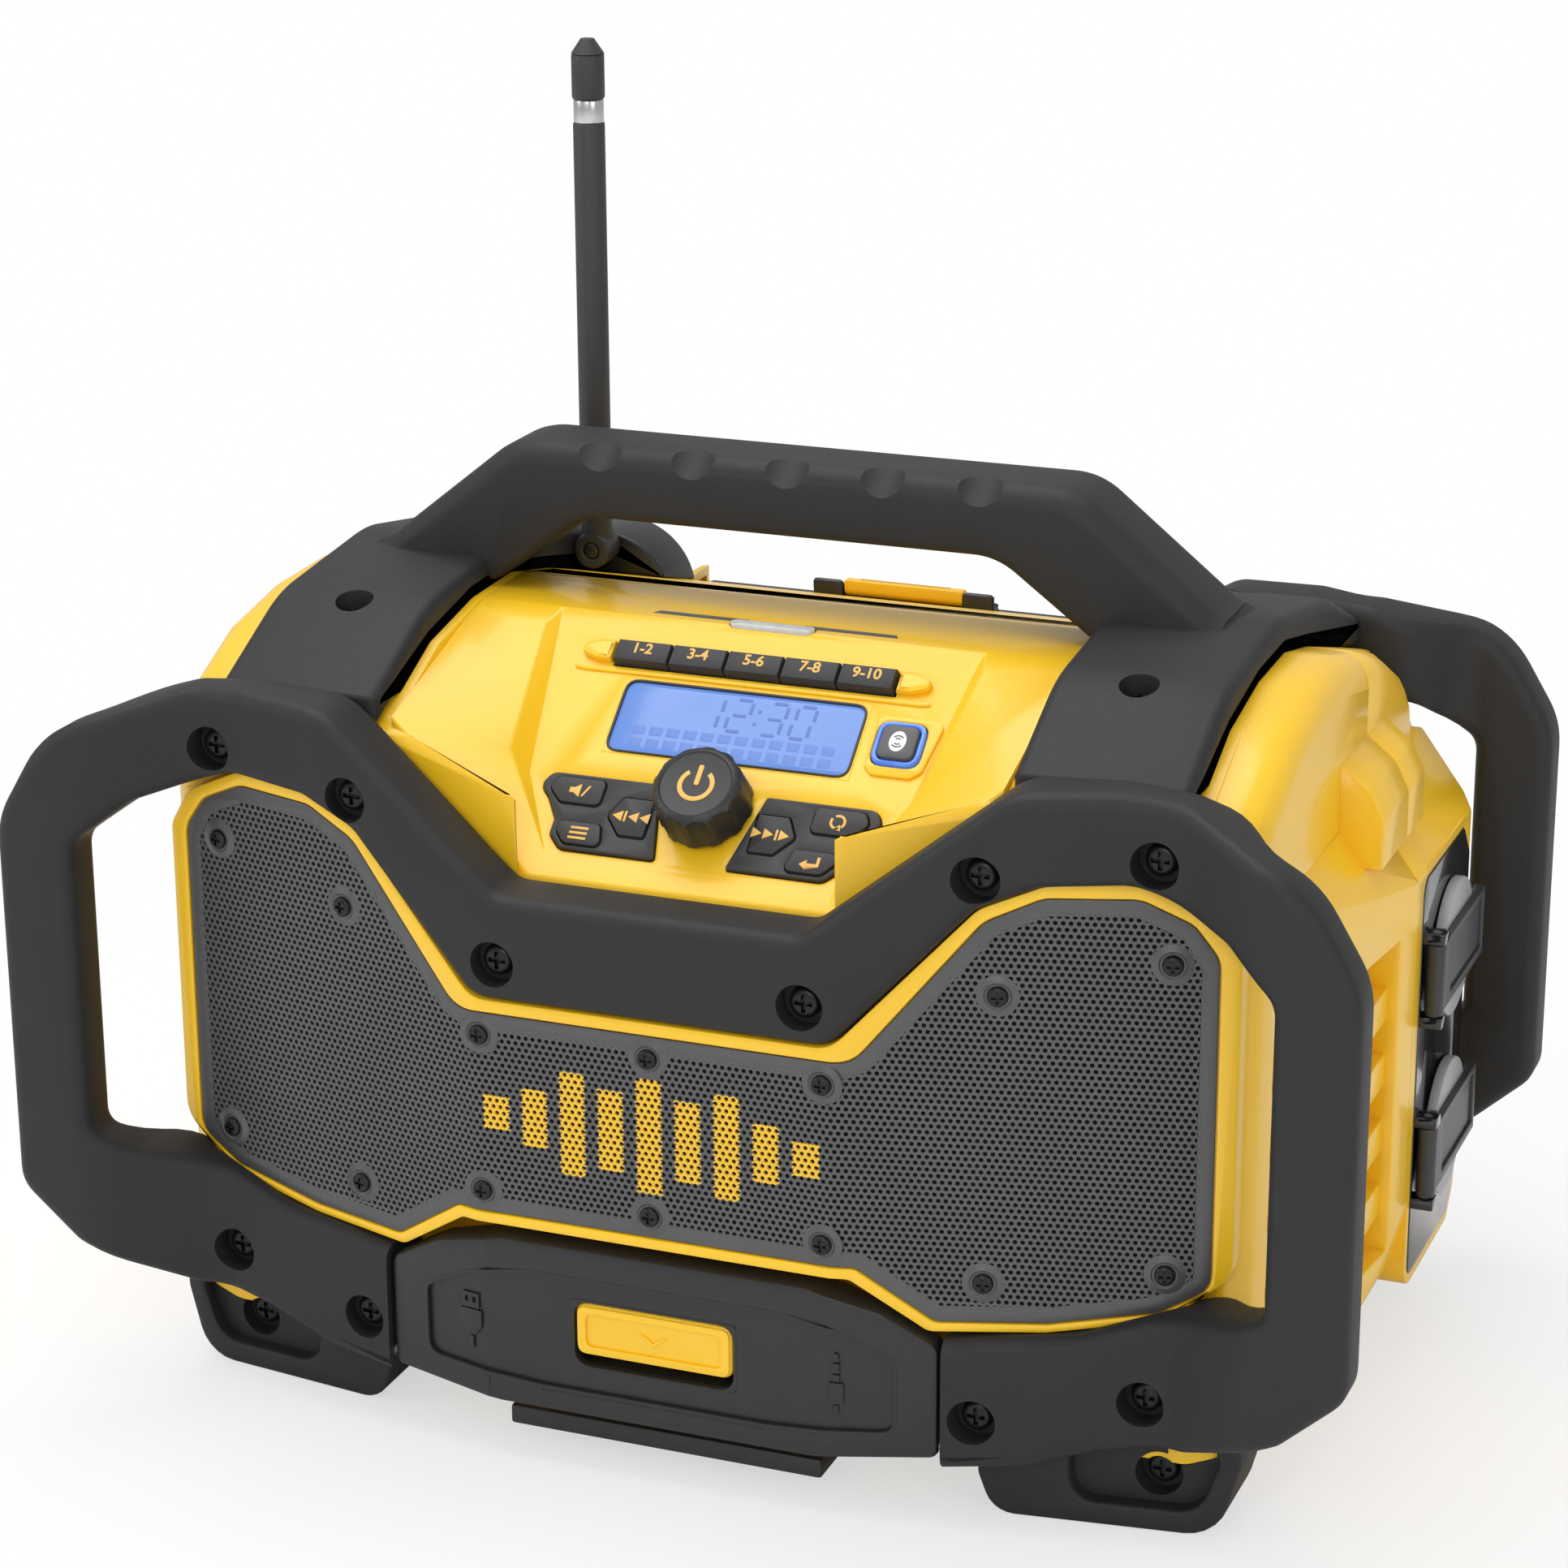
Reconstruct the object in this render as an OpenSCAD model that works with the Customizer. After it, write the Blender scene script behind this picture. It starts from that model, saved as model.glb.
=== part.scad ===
// Jobsite radio with a roll cage, carry handle, folding antenna, weather doors and two outlets.
// Frame: +X to the right of someone facing the front, +Y to the back, +Z up, in millimetres.
// The origin is on the ground, under the middle of the cage.

/* [Overall] */
// Width over the side loops of the cage
cage_w = 466; // [462:1:480]
// Depth from the front of the cage to the back of the battery door
total_d = 296; // [290:1:320]
// Height of the top of the carry handle
handle_top = 317; // [312:1:322]

/* [Cage] */
// Width of the bar of each side loop
loop_bar = 27.5; // [24:0.5:34]
// Depth of each side loop, front to back
loop_depth = 21; // [18:1:26]
// How far the middle of the cage lies behind the front of its side loops
cage_setback = 6; // [4:0.5:8]
// How far the cage lies behind the front of its side loops at the body's corners
wing_setback = 24.5; // [20:0.5:26]
// Height of the top of the cage over the shoulders
cage_top = 253.5; // [250:0.5:256]
// Height of the bottom of the V between the shoulders
vee_top = 199.5; // [197:0.5:202]
// Height of the underside of the V
vee_bottom = 164; // [160:1:168]
// Diameter of the wells that the cage screws sit in
screw_well_d = 15.5; // [13:0.5:17]
// Diameter of the head of a cage screw
screw_head_d = 10.5; // [9:0.5:12]
// Thickness of the head of a cage screw
screw_head_t = 3.8; // [3:0.2:5]
// Diameter of the shank of a cage screw
screw_d = 4.5; // [4:0.5:5]

/* [Body] */
// Width of the body over the socket housings
body_w = 419.4; // [414:0.2:422]
// Width of the speaker front
front_w = 374; // [368:1:378]
// Thickness of the body walls
wall = 3.2; // [2.6:0.2:4]
// Height of the underside of the body above the ground
body_bottom = 22; // [20:0.5:24]
// Depth of the rear shell, from the seam between the shells to the back
rear_depth = 119; // [114:1:124]
// Number of ribs on each side
rib_count = 4; // [2:1:5]
// Height of one side rib
rib_h = 12; // [8:1:14]
// Distance from one side rib to the next
rib_pitch = 24; // [20:1:26]
// Distance of the shoulders' round ends from the middle
drum_x = 190; // [188:0.5:192]
// Radius of the edge of the shoulders' round ends
drum_edge = 12; // [8:1:14]

/* [Speaker grille] */
// Thickness of the perforated sheet
grille_t = 1.2; // [0.8:0.1:2]
// Depth of the middle of the grille behind the front of the cage
grille_d = 9; // [8:0.5:10]
// Width of the flat middle of the grille
grille_flat_w = 124; // [110:1:130]
// Angle at which the wings of the grille sweep back
sweep = 13.2; // [11:0.2:14]
// Distance of each speaker from the middle
speaker_x = 118; // [112:1:122]
// Height of the speaker centres
speaker_z = 146; // [142:1:150]
// Diameter of the opening in front of each speaker
speaker_d = 72; // [66:1:74]

/* [Control panel] */
// Slope of the control panel
panel_slope = 40; // [39:0.5:41]
// Thickness of the control panel
panel_t = 3; // [2.4:0.2:3.4]
// Width of the display window
lcd_w = 86; // [80:1:87]
// Height of the display window along the slope
lcd_h = 28.4; // [26:0.2:29]
// Diameter of the volume knob
knob_d = 32; // [28:1:34]
// Height of the volume knob above the panel
knob_h = 16.5; // [13:0.5:18]
// Diameter of the encoder shaft
shaft_d = 6; // [5:0.5:6]
// Width of one preset key
preset_w = 19.4; // [17:0.2:19.6]
// Height of one preset key along the slope
preset_h = 8.2; // [7:0.2:8.4]
// Travel of a key when it is pressed
key_travel = 0.8; // [0.5:0.1:1]
// Side of the square pairing button
pair_w = 12.6; // [11:0.2:13]

/* [Handle] */
// Height of the grip section
grip_h = 25; // [22:1:27]
// Depth of the grip section
grip_depth = 36; // [30:1:38]
// Inner edge of each saddle, from the middle
saddle_in = 110; // [109:0.5:112]
// Width of each saddle
saddle_w = 58; // [52:1:60]
// Thickness of each saddle at its ends
saddle_t = 11.5; // [10.5:0.5:12]
// Number of finger scallops in the grip
scallop_count = 5; // [3:1:5]
// Distance from one scallop to the next
scallop_pitch = 34; // [30:1:36]

/* [Feet] */
// Height of the feet
foot_h = 50; // [46:1:54]
// Depth of each foot
foot_d = 43; // [36:1:46]

/* [Port door] */
// Half width of the port door
port_half = 97; // [94:0.5:97.5]
// Thickness of the port door
port_t = 13; // [12:0.5:14]
// How far the port door's ends lie behind its middle
port_sweep = 6.5; // [5:0.5:7]
// Width of the port latch
latch_w = 56; // [48:1:60]
// Height of the port latch
latch_h = 19; // [16:0.5:20]
// Travel of the port latch
latch_travel = 3.5; // [2:0.5:4]
// Diameter of every door pin
pin_d = 4; // [3:0.5:4.5]

/* [Outlets] */
// Height of the lower outlet
outlet_z = 74.5; // [70:0.5:78]
// Distance between the two outlets
outlet_pitch = 67.5; // [62:0.5:70]
// Diameter of an outlet insert
outlet_d = 42; // [38:1:44]
// Diameter of an outlet cover
cover_d = 49; // [45:1:52]
// Diameter of a cover pin
cover_pin_d = 3; // [2.5:0.5:3.5]

/* [Antenna] */
// Diameter of the antenna
mast_d = 11.2; // [9:0.2:11.6]
// Height of the top of the antenna
antenna_top = 443; // [400:1:460]
// Place of the antenna across the radio
antenna_x = -102.5; // [-102.5:0.5:-98]

/* [Battery door] */
// Half width of the battery door
battery_half = 91; // [86:1:93]
// Width of the yellow latch bar
battery_latch_w = 45.6; // [40:0.2:50]

/* [Fits] */
// Gap between pieces that are screwed together
seam = 0.3; // [0.2:0.05:0.4]
// Radial gap of a shaft in its bore
running = 0.05; // [0.02:0.01:0.1]
// Gap around keys and doors
key_gap = 0.3; // [0.2:0.05:0.4]

/* [Hidden] */

$fn = 64;
YELLOW = "#f6bd1d";
DARK = "#333436";
BLACK = "#1c1d1f";
GREY = "#55585b";
METAL = "#b9bcc0";
BOARD = "#2f6b42";

eps = 0.05;
front_y = -total_d / 2;
half_w = cage_w / 2;
split_d = total_d - rear_depth;
loop_in = half_w - loop_bar;
arc_steps = 5;

// Y of a plane that lies d behind the front of the cage.
function back(d) = front_y + d;

// ---- Outlines -------------------------------------------------------------------------------
// An outline is a list of [x, y, corner radius], anticlockwise.

function unit(v) = v / norm(v);
function xy(p) = [p[0], p[1]];
function flipped(pts) = [for (i = [len(pts) - 1 : -1 : 0]) [-pts[i][0], pts[i][1], pts[i][2]]];
function symmetric(half) = concat(half, flipped(half));

// Corner b of an outline, rounded, seen between its neighbours a and c.
function corner(a, b, c) =
    let (p = xy(b), u = unit(xy(a) - p), w = unit(xy(c) - p), half = acos(u * w) / 2,
        room = 0.49 * min(norm(xy(a) - p), norm(xy(c) - p)), t = min(b[2] / tan(half), room),
        r = t * tan(half), centre = p + unit(u + w) * (r / sin(half)), start = p + u * t - centre,
        from = atan2(start[1], start[0]),
        turn = (u[0] * w[1] - u[1] * w[0] < 0 ? 1 : -1) * (180 - 2 * half))
    b[2] == 0 ? [p]
              : [for (i = [0 : arc_steps]) centre + r * [cos(from + turn * i / arc_steps),
                                                         sin(from + turn * i / arc_steps)]];
function rounded(pts) = let (n = len(pts))
    [for (i = [0 : n - 1]) each corner(pts[(i + n - 1) % n], pts[i], pts[(i + 1) % n])];

// The same outline moved outwards by g, with its radii kept to match.
function grown(pts, g) = let (n = len(pts))
    [for (i = [0 : n - 1])
        let (p = xy(pts[i]), e1 = unit(p - xy(pts[(i + n - 1) % n])), e2 = unit(xy(pts[(i + 1) % n]) - p),
            n1 = [e1[1], -e1[0]], n2 = [e2[1], -e2[0]], q = p + g * (n1 + n2) / (1 + n1 * n2),
            bulge = e1[0] * e2[1] - e1[1] * e2[0] > 0 ? g : -g)
        [q[0], q[1], pts[i][2] == 0 ? 0 : max(0.1, pts[i][2] + bulge)]];

module shape(pts) { polygon(rounded(pts)); }
// Front view, XZ, between two depths behind the front of the cage.
module front_view(pts, d0, d1)
    translate([0, back(d1), 0]) rotate([90, 0, 0]) linear_extrude(d1 - d0) shape(pts);
// Plan, with each y a depth behind the front of the cage, between two heights.
module plan(pts, z0, z1) translate([0, front_y, z0]) linear_extrude(z1 - z0) shape(pts);
// Side view, with each point [depth, z], between two places across.
module side_view(pts, x0, x1)
    translate([x0, front_y, 0]) rotate([90, 0, 90]) linear_extrude(x1 - x0) shape(pts);
module box(x0, x1, d0, d1, z0, z1)
    translate([x0, back(d0), z0]) cube([x1 - x0, d1 - d0, z1 - z0]);
module rod_x(x0, x1, d, z, r) translate([x0, back(d), z]) rotate([0, 90, 0]) cylinder(h = x1 - x0, r = r);
module rod_y(x, d0, d1, z, r) translate([x, back(d1), z]) rotate([90, 0, 0]) cylinder(h = d1 - d0, r = r);
module rod_z(x, d, z0, z1, r) translate([x, back(d), z0]) cylinder(h = z1 - z0, r = r);
module both_sides() for (side = [0, 1]) mirror([side, 0, 0]) children();
module front_and_back() for (side = [0, 1]) mirror([0, side, 0]) children();

// ---- Cage -----------------------------------------------------------------------------------
cage_outer = [[98.5, 20, 3], [124, 23.5, 25], [148, 31.5, 25], [176, 37, 20], [212, 55, 12],
    [half_w, 74, 14], [half_w, 208, 24], [half_w - 15, 231, 20], [200, 242, 16], [172, cage_top - 2, 16],
    [150, cage_top, 20], [118, cage_top - 2, 22], [52, vee_top, 10]];
cage_inner = [[62, vee_bottom, 12], [107, 213, 14], [127, 221.5, 12], [155, 224, 20],
    [188, 213.5, 12], [loop_in, 200, 9], [loop_in, 96, 7], [192, 89, 10], [170, 81.5, 12],
    [140, 71, 14], [120, 69, 12], [98.5, 66, 2]];
front_cage = concat(cage_outer, flipped(cage_outer), flipped(cage_inner), cage_inner);
// Each rear shoulder bar stops beside the battery door, and one bar joins the sides below it.
rear_end = battery_half + 8;
rear_outer = [[124, 24, 25], [148, 31.5, 25], [176, 37, 20], [212, 55, 12], [half_w, 74, 14],
    [half_w, 208, 24], [half_w - 15, 231, 20], [200, 242, 16], [172, cage_top - 2, 16],
    [150, cage_top, 20], [118, cage_top - 2, 14], [rear_end, 240, 4], [rear_end, 214, 4],
    [127, 226.5, 12], [160, 226.5, 20], [188, 216, 12], [loop_in, 200, 9], [loop_in, 96, 7],
    [178, 88, 10], [152, 79.5, 15], [120, 77.5, 12], [98.5, 66, 6]];
rear_cage = symmetric(rear_outer);
cage_back = 42;
vee_back = 31.5;
cage_plan = symmetric([[57, cage_setback, 12], [104, 13.5, 20], [168, wing_setback, 14],
    [loop_in - 3, 1.5, 12], [half_w + 5, 0, 0], [half_w + 5, loop_depth, 0],
    [loop_in - 6, loop_depth, 4], [loop_in - 16, cage_back, 4], [110, cage_back, 4], [57, vee_back, 4]]);

// ---- Body -----------------------------------------------------------------------------------
sweep_k = tan(sweep);
flat_half = grille_flat_w / 2;
front_half = front_w / 2;
side_half = body_w / 2;
main_front = cage_back + seam;
main_back = total_d - cage_back - seam;
bulge_back = total_d - 34.8;
rear_face = total_d - 12;
// Depth of the swept grille plane at x.
function swept(x) = grille_d + max(0, abs(x) - flat_half) * sweep_k;
function swept_plan(d, x1, d1) = let (edge = d + (x1 - flat_half) * sweep_k)
    [[-flat_half, d, 0], [flat_half, d, 0], [x1, edge, 0], [x1, d1, 0], [-x1, d1, 0], [-x1, edge, 0]];

box_half = [[68, 84, 4], [93, 67.5, 6], [130, 69.5, 10], [166, 76, 10], [front_half, 92, 12],
    [front_half, 199, 9], [front_half - 8, 212, 10], [155, 224 - seam, 20], [127, 221.5 - seam, 12],
    [107, 213 - seam, 14], [62, vee_bottom - seam, 12]];
speaker_front = symmetric(box_half);
grille_half = [[70, 88.5, 4], [95, 71.5, 6], [130, 73, 10], [164, 79, 10], [180, 88, 9],
    [180, 199, 10], [172, 210, 10], [156, 217.5, 12], [127, 216.5, 12], [109, 208, 14], [69, 158.5, 12]];
grille_outline = symmetric(grille_half);

core_outline = symmetric([[172, body_bottom, 12], [204, 36, 12], [side_half, 62, 20],
    [side_half, 181, 3], [drum_x, 208, 4], [172, 214, 4], [172, 270, 0]]);
body_side = [[31, body_bottom, 0], [total_d, body_bottom, 0], [total_d, 222, 0], [total_d - 50, 239, 0],
    [total_d - 84, 249, 0], [split_d, 259, 0], [148, 265, 0], [117, 264, 0], [84, 257.5, 0],
    [43, 238, 0], [31, 224, 0]];
body_plan = symmetric([[57, 32, 0], [110, main_front, 0], [front_half - 5, main_front, 5],
    [front_half + 3, cage_back + 8, 6], [196, 82, 0], [204, 132, 0], [side_half, split_d, 6],
    [side_half, bulge_back - 4, 0], [side_half - 4, bulge_back, 0], [189, bulge_back, 0],
    [183, main_back, 0]]);
// The part of the body that stands out between the bars of the rear cage.
rear_window = symmetric([[92, 70, 4], [118, 81, 8], [150, 83, 10], [front_half, 93, 12],
    [front_half, 202, 9], [front_half - 8, 214, 10], [160, 225.5, 20], [127, 225.5, 12],
    [rear_end - 1, 213, 4], [rear_end - 1, 234, 6]]);
rear_window_plan = symmetric([[front_half, 200, 0], [front_half, rear_face - 18, 0],
    [front_half - 16, rear_face, 0]]);

// Side view of the round shoulders.
drum_side = [[main_front, 190, 0], [main_back, 190, 0], [main_back, 212, 0], [main_back - 5, 225, 0],
    [main_back - 16, 236, 0], [total_d - 84, 249, 0], [split_d, 259, 0], [148, 265, 0], [117, 264, 0],
    [84, 257.5, 0], [main_front, 237.5, 0]];
drum_steps = concat([[150, 0]], [for (a = [0 : 22.5 : 90])
    [drum_x - drum_edge * (1 - sin(a)), -drum_edge * (1 - cos(a))]]);
// Round shoulders, larger by g. Each section is the side view, smaller towards the outer end.
module drum(g) both_sides() {
    n = len(drum_side);
    last = len(drum_steps) - 1;
    polyhedron(
        points = [for (s = drum_steps) each [for (p = grown(drum_side, g + s[1]))
            [s[0] + g, back(p[0]), p[1]]]],
        faces = concat([[for (i = [0 : n - 1]) i]], [[for (i = [n - 1 : -1 : 0]) last * n + i]],
            [for (k = [0 : last - 1], i = [0 : n - 1]) let (j = (i + 1) % n)
                [(k + 1) * n + i, (k + 1) * n + j, k * n + j, k * n + i]]));
}
bump_outline = [[drum_x - 8, 196, 0], [205, 196, 0], [205, 213, 5], [200, 223, 7], [drum_x, 231, 7],
    [drum_x - 8, 232, 0]];
// Block on the outside of each shoulder, larger by g.
module bump(g) both_sides() front_view(grown(bump_outline, g), 142 - g, 200 + g);

// The body's outer form, larger by g, without its speaker front.
module body_form(g) {
    intersection() {
        front_view(grown(core_outline, g), 20, total_d);
        side_view(grown(body_side, g), -half_w, half_w);
        plan(grown(body_plan, g), 0, handle_top);
    }
    drum(g);
    if (g >= 0) bump(g);
}
// The speaker front, larger by g, from depth d of its face back into the body.
module front_form(g, d) {
    intersection() {
        front_view(grown(speaker_front, g), 0, 60);
        plan(swept_plan(d, front_half + 4, 60), 0, handle_top);
    }
}

// The rear window's form, smaller by g.
module rear_form(g) {
    intersection() {
        front_view(grown(rear_window, -g), 0, total_d);
        plan(grown(rear_window_plan, -g), 0, handle_top);
    }
}
// The space in front of the grille's back, inside its yellow rim.
module grille_pocket() {
    d = grille_d + grille_t + seam;
    x1 = front_half + 4;
    intersection() {
        front_view(grown(grille_outline, 0.4), 0, 60);
        plan([[-x1, -5, 0], [x1, -5, 0], [x1, d + (x1 - flat_half) * sweep_k, 0], [flat_half, d, 0],
            [-flat_half, d, 0], [-x1, d + (x1 - flat_half) * sweep_k, 0]], 0, handle_top);
    }
}

// ---- Control panel --------------------------------------------------------------------------
panel_d = 32;
panel_z = 193.5;
// A point at x, v up the slope and n off it, as [x, depth, z].
function on_slope(x, v, n) = [x, panel_d + v * cos(panel_slope) - n * sin(panel_slope),
    panel_z + v * sin(panel_slope) + n * cos(panel_slope)];
module on_panel(x, v, n) translate([x, back(on_slope(x, v, n)[1]), on_slope(x, v, n)[2]])
    rotate([panel_slope, 0, 0]) children();
panel_half = saddle_in - 3.5;
rim_low = [54.8, panel_d, 190];
rim_lip = [52.6, panel_d + 2.4, 198.5];
rim_corner = [panel_half, 46, 243];
rim_top = [panel_half, 107, 262];
ridge_low = [71.5, 63.5, 231];
ridge_top = [78, 107, 261];
plate_low = on_slope(50, 14, 0);
plate_mid = on_slope(66, 45, 0);
plate_top = on_slope(74, 100, 0);
crease = [76, 117, 264.3];
deck_front = [panel_half, 118, 264.4];
deck_mid = [panel_half, 149, 265.2];
deck_back = [panel_half, split_d - seam, 258.5];
panel_points = [rim_low, rim_lip, rim_corner, rim_top, ridge_low, ridge_top, plate_low, plate_mid,
    plate_top, crease, deck_front, deck_mid, deck_back];
// Faces of the right half, by place in panel_points. L turns a place into its twin on the left.
side_faces = [[0, 2, 1], [1, 2, 4], [1, 4, 6], [6, 4, 7], [7, 4, 8], [4, 5, 8], [4, 2, 3], [4, 3, 5],
    [5, 3, 10], [5, 10, 9], [5, 9, 8]];
twin = len(panel_points);
function L(i) = i + twin;
middle_faces = [[L(0), 0, 1, L(1)], [L(1), 1, 6, L(6)], [L(6), 6, 7, L(7)], [L(7), 7, 8, L(8)],
    [L(8), 8, 9, L(9)], [L(9), 9, 10, L(10)], [L(10), 10, 11, L(11)], [L(11), 11, 12, L(12)]];
panel_edge = [0, 2, 3, 10, 11, 12, L(12), L(11), L(10), L(3), L(2), L(0)];

// The panel's form, from down below its surface to up above it.
module panel_form(down, up) {
    flat = concat(panel_points, [for (p = panel_points) [-p[0], p[1], p[2]]]);
    n = len(flat);
    surface = concat(middle_faces, side_faces, [for (f = side_faces) [L(f[2]), L(f[1]), L(f[0])]]);
    m = len(panel_edge);
    polyhedron(
        points = concat([for (p = flat) [p[0], back(p[1]), p[2] + up]],
                        [for (p = flat) [p[0], back(p[1]), p[2] - down]]),
        faces = concat([for (f = surface) [for (i = [len(f) - 1 : -1 : 0]) f[i]]],
                       [for (f = surface) [for (i = f) i + n]],
                       [for (i = [0 : m - 1]) let (a = panel_edge[i], b = panel_edge[(i + 1) % m])
                           [a, b, b + n, a + n]]));
}

// ---- Places on the panel --------------------------------------------------------------------
lcd_v = 70.6;
knob_v = 38.5;
preset_v = 94;
preset_pitch = preset_w + 2 * key_gap;
pill_d = 119;
pair_x = 57.2;
pair_v = 70.8;
pad_outline = [[12.5, 17, 1], [46, 17, 4], [51, 22, 2], [51, 28, 3], [56, 36, 3], [60, 40, 3],
    [57, 45.3, 4], [19, 45.3, 1]];
board_n = -13;
board_t = 1.6;
pads_z = -2.6;
mat_rise = 1.2;

// Key outlines on the right pad: the outer upper key, the outer lower key and the skip key.
upper_key = [[37, 34, 2], [51, 34, 3], [56, 39, 2], [54, 43.5, 3], [37, 43.5, 2]];
lower_key = [[32, 18.8, 2], [45, 18.8, 3], [48.6, 23, 2], [48.6, 27, 2], [34, 27, 2]];
skip_key = [[18.2, 24, 1], [27, 24, 1], [33, 31, 2], [29, 38.5, 1], [18.2, 38.5, 1]];

module pad_key(outline, x_sign) {
    on_panel(0, 0, 0) mirror([x_sign < 0 ? 1 : 0, 0, 0]) {
        translate([0, 0, pads_z - 1.8]) linear_extrude(1.8 - pads_z + mat_rise + key_travel) shape(outline);
        translate([0, 0, pads_z - 2.4]) linear_extrude(1.2) shape(grown(outline, 0.8));
    }
}

// ---- Front shell ----------------------------------------------------------------------------
door_z = 27;
door_d = 18;
port_half_in = 80;
port_floor = 33;
port_roof = 63;
port_back = 56;
port_face = 24.2;
guard_holes = [[53, 177, 10], [108, 223.5, 19], [162.4, 232, 28.5], [108.4, 39, 19], [162, 51, 28.5]];
saddle_hole_x = 138.1;
saddle_hole_d = [84, total_d - 84];
foot_hole = [163.5, 18, 45];
boss_r = 5;
shank_r = screw_d / 2;
screw_length = 34;

module screw_bosses(holes) both_sides() for (h = holes)
    rod_y(h[0], h[2] + screw_head_t, h[2] + screw_length + 6, h[1], boss_r);
module screw_bores(holes) both_sides() for (h = holes)
    rod_y(h[0], 0, h[2] + screw_length + 2, h[1], shank_r + running);
module saddle_bores(d, r, z0, z1) both_sides() rod_z(saddle_hole_x, d, z0, z1, r);

rib_pocket_x = 190;
rib_z = 52;
rib_d = [60, 162];
module side_ribs() for (i = [0 : rib_count - 1]) let (z = rib_z + i * rib_pitch + rib_pitch - rib_h)
    box(rib_pocket_x - 4, 204, rib_d[0], rib_d[1], z, z + rib_h);

module front_shell() color(YELLOW) difference() {
    union() {
        difference() {
            union() {
                intersection() {
                    difference() {
                        body_form(0);
                        both_sides() box(rib_pocket_x, half_w, rib_d[0], rib_d[1], rib_z,
                            rib_z + (rib_count + 0.7) * rib_pitch);
                    }
                    box(-half_w, half_w, 0, split_d - seam / 2, 0, handle_top);
                }
                front_form(-seam, grille_d - 0.4);
                intersection() {
                    body_form(0);
                    both_sides() side_ribs();
                }
            }
            intersection() {
                body_form(-wall);
                box(-rib_pocket_x + wall, rib_pocket_x - wall, 0, split_d + 1, 0, handle_top);
            }
            intersection() {
                front_form(-seam - wall, grille_d + grille_t + seam + wall);
                box(-half_w, half_w, 0, 59, 0, handle_top);
            }
        }
        // Surround and walls of the port compartment.
        box(-port_half_in - wall, port_half_in + wall, port_face, port_back + wall, port_floor - wall,
            port_roof + wall);
        // Walls that carry the panel's long edges.
        intersection() {
            body_form(0);
            both_sides() box(panel_half - wall, panel_half + 2, 40, split_d - seam / 2, 200, handle_top);
        }
        // Walls that carry the panel's front edge.
        intersection() {
            body_form(0);
            box(-56, 56, 31, 31 + 2 * wall, 150, 196);
        }
        // Posts of the main board.
        for (x = [-60, 60], d = [70, 140]) rod_z(x, d, body_bottom + 1, 36, 4);
        intersection() {
            body_form(-1);
            screw_bosses(guard_holes);
        }
        intersection() {
            body_form(-1);
            saddle_bosses(saddle_hole_d[0]);
        }
        foot_lugs();
    }
    grille_pocket();
    panel_form(panel_t + 0.2, 60);
    box(-port_half_in, port_half_in, 0, port_back, port_floor, port_roof);
    screw_bores(guard_holes);
    saddle_bores(saddle_hole_d[0], shank_r + running, 226, handle_top);
    both_sides() on_wing() cylinder(h = 60, r = speaker_d / 2, center = true);
    grille_bores();
    port_bores();
    foot_bores();
}
module saddle_bosses(d) both_sides() rod_z(saddle_hole_x, d, 226, 262, boss_r);
// Lugs under the body that the foot screws go into.
module foot_lugs() both_sides() {
    rod_y(foot_hole[0], foot_back + seam, foot_back + lug_depth, foot_hole[1], lug_r);
    box(foot_hole[0] - lug_r, foot_hole[0] + lug_r, foot_back + seam, foot_back + lug_depth, foot_hole[1],
        38);
}
module foot_bores() both_sides() {
    rod_y(foot_hole[0], 0, foot_hole[2] + screw_head_t + seam, foot_hole[1], screw_head_d / 2 + seam);
    rod_y(foot_hole[0], 0, foot_back + 8, foot_hole[1], shank_r + running);
}

// The right speaker's place: its axis is square to the swept front wall.
module on_wing() translate([speaker_x, back(swept(speaker_x)), speaker_z]) rotate([0, 0, sweep])
    rotate([-90, 0, 0]) children();

grille_screws_at = [[166, 197], [113.5, 184], [166, 92.5], [59.6, 151], [59.6, 96], [110, 86]];
grille_middle_screws = [151, 96];
module at_grille_screws() {
    both_sides() for (s = grille_screws_at) translate([s[0], back(swept(s[0])), s[1]])
        rotate([90, 0, s[0] > flat_half ? sweep : 0]) children();
    for (z = grille_middle_screws) translate([0, back(grille_d), z]) rotate([90, 0, 0]) children();
}
grille_shank = 4.4;
module grille_bores() at_grille_screws() translate([0, 0, -10]) cylinder(h = 14, r = 1.5 + running);

// ---- Rear shell -----------------------------------------------------------------------------
bay_half = 62;
bay_floor = 96;
bay_roof = 202;
bay_front = total_d - 96;
plate_d0 = split_d + 9;
plate_d1 = total_d - 40;
plate_z0 = 31;
plate_z1 = 178;
plate_deep = 4;
outlet_mid = (plate_d0 + plate_d1) / 2 + 1;
outlets = [outlet_z, outlet_z + outlet_pitch];
flange_d = total_d - 50;
flange_z = 228;
hinge_d = total_d - 6;
hinge_z = 90;
barrel_r = 5.6;
housing_rim = 4;
plate_outline = [[plate_d0, plate_z0, 6], [plate_d1 - 10, plate_z0, 3], [plate_d1, plate_z0 + 12, 3],
    [plate_d1, plate_z1 - 12, 3], [plate_d1 - 10, plate_z1, 3], [plate_d0, plate_z1, 6]];

// Housing behind the socket plate, and its blank twin, larger by g.
housing_wall = 3 * wall;
housing_in = 150;
module housing(g, x1) both_sides() intersection() {
    side_view(grown(plate_outline, housing_rim + g), housing_in - g, x1);
    plan(grown(body_plan, g), 0, handle_top);
}

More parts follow.
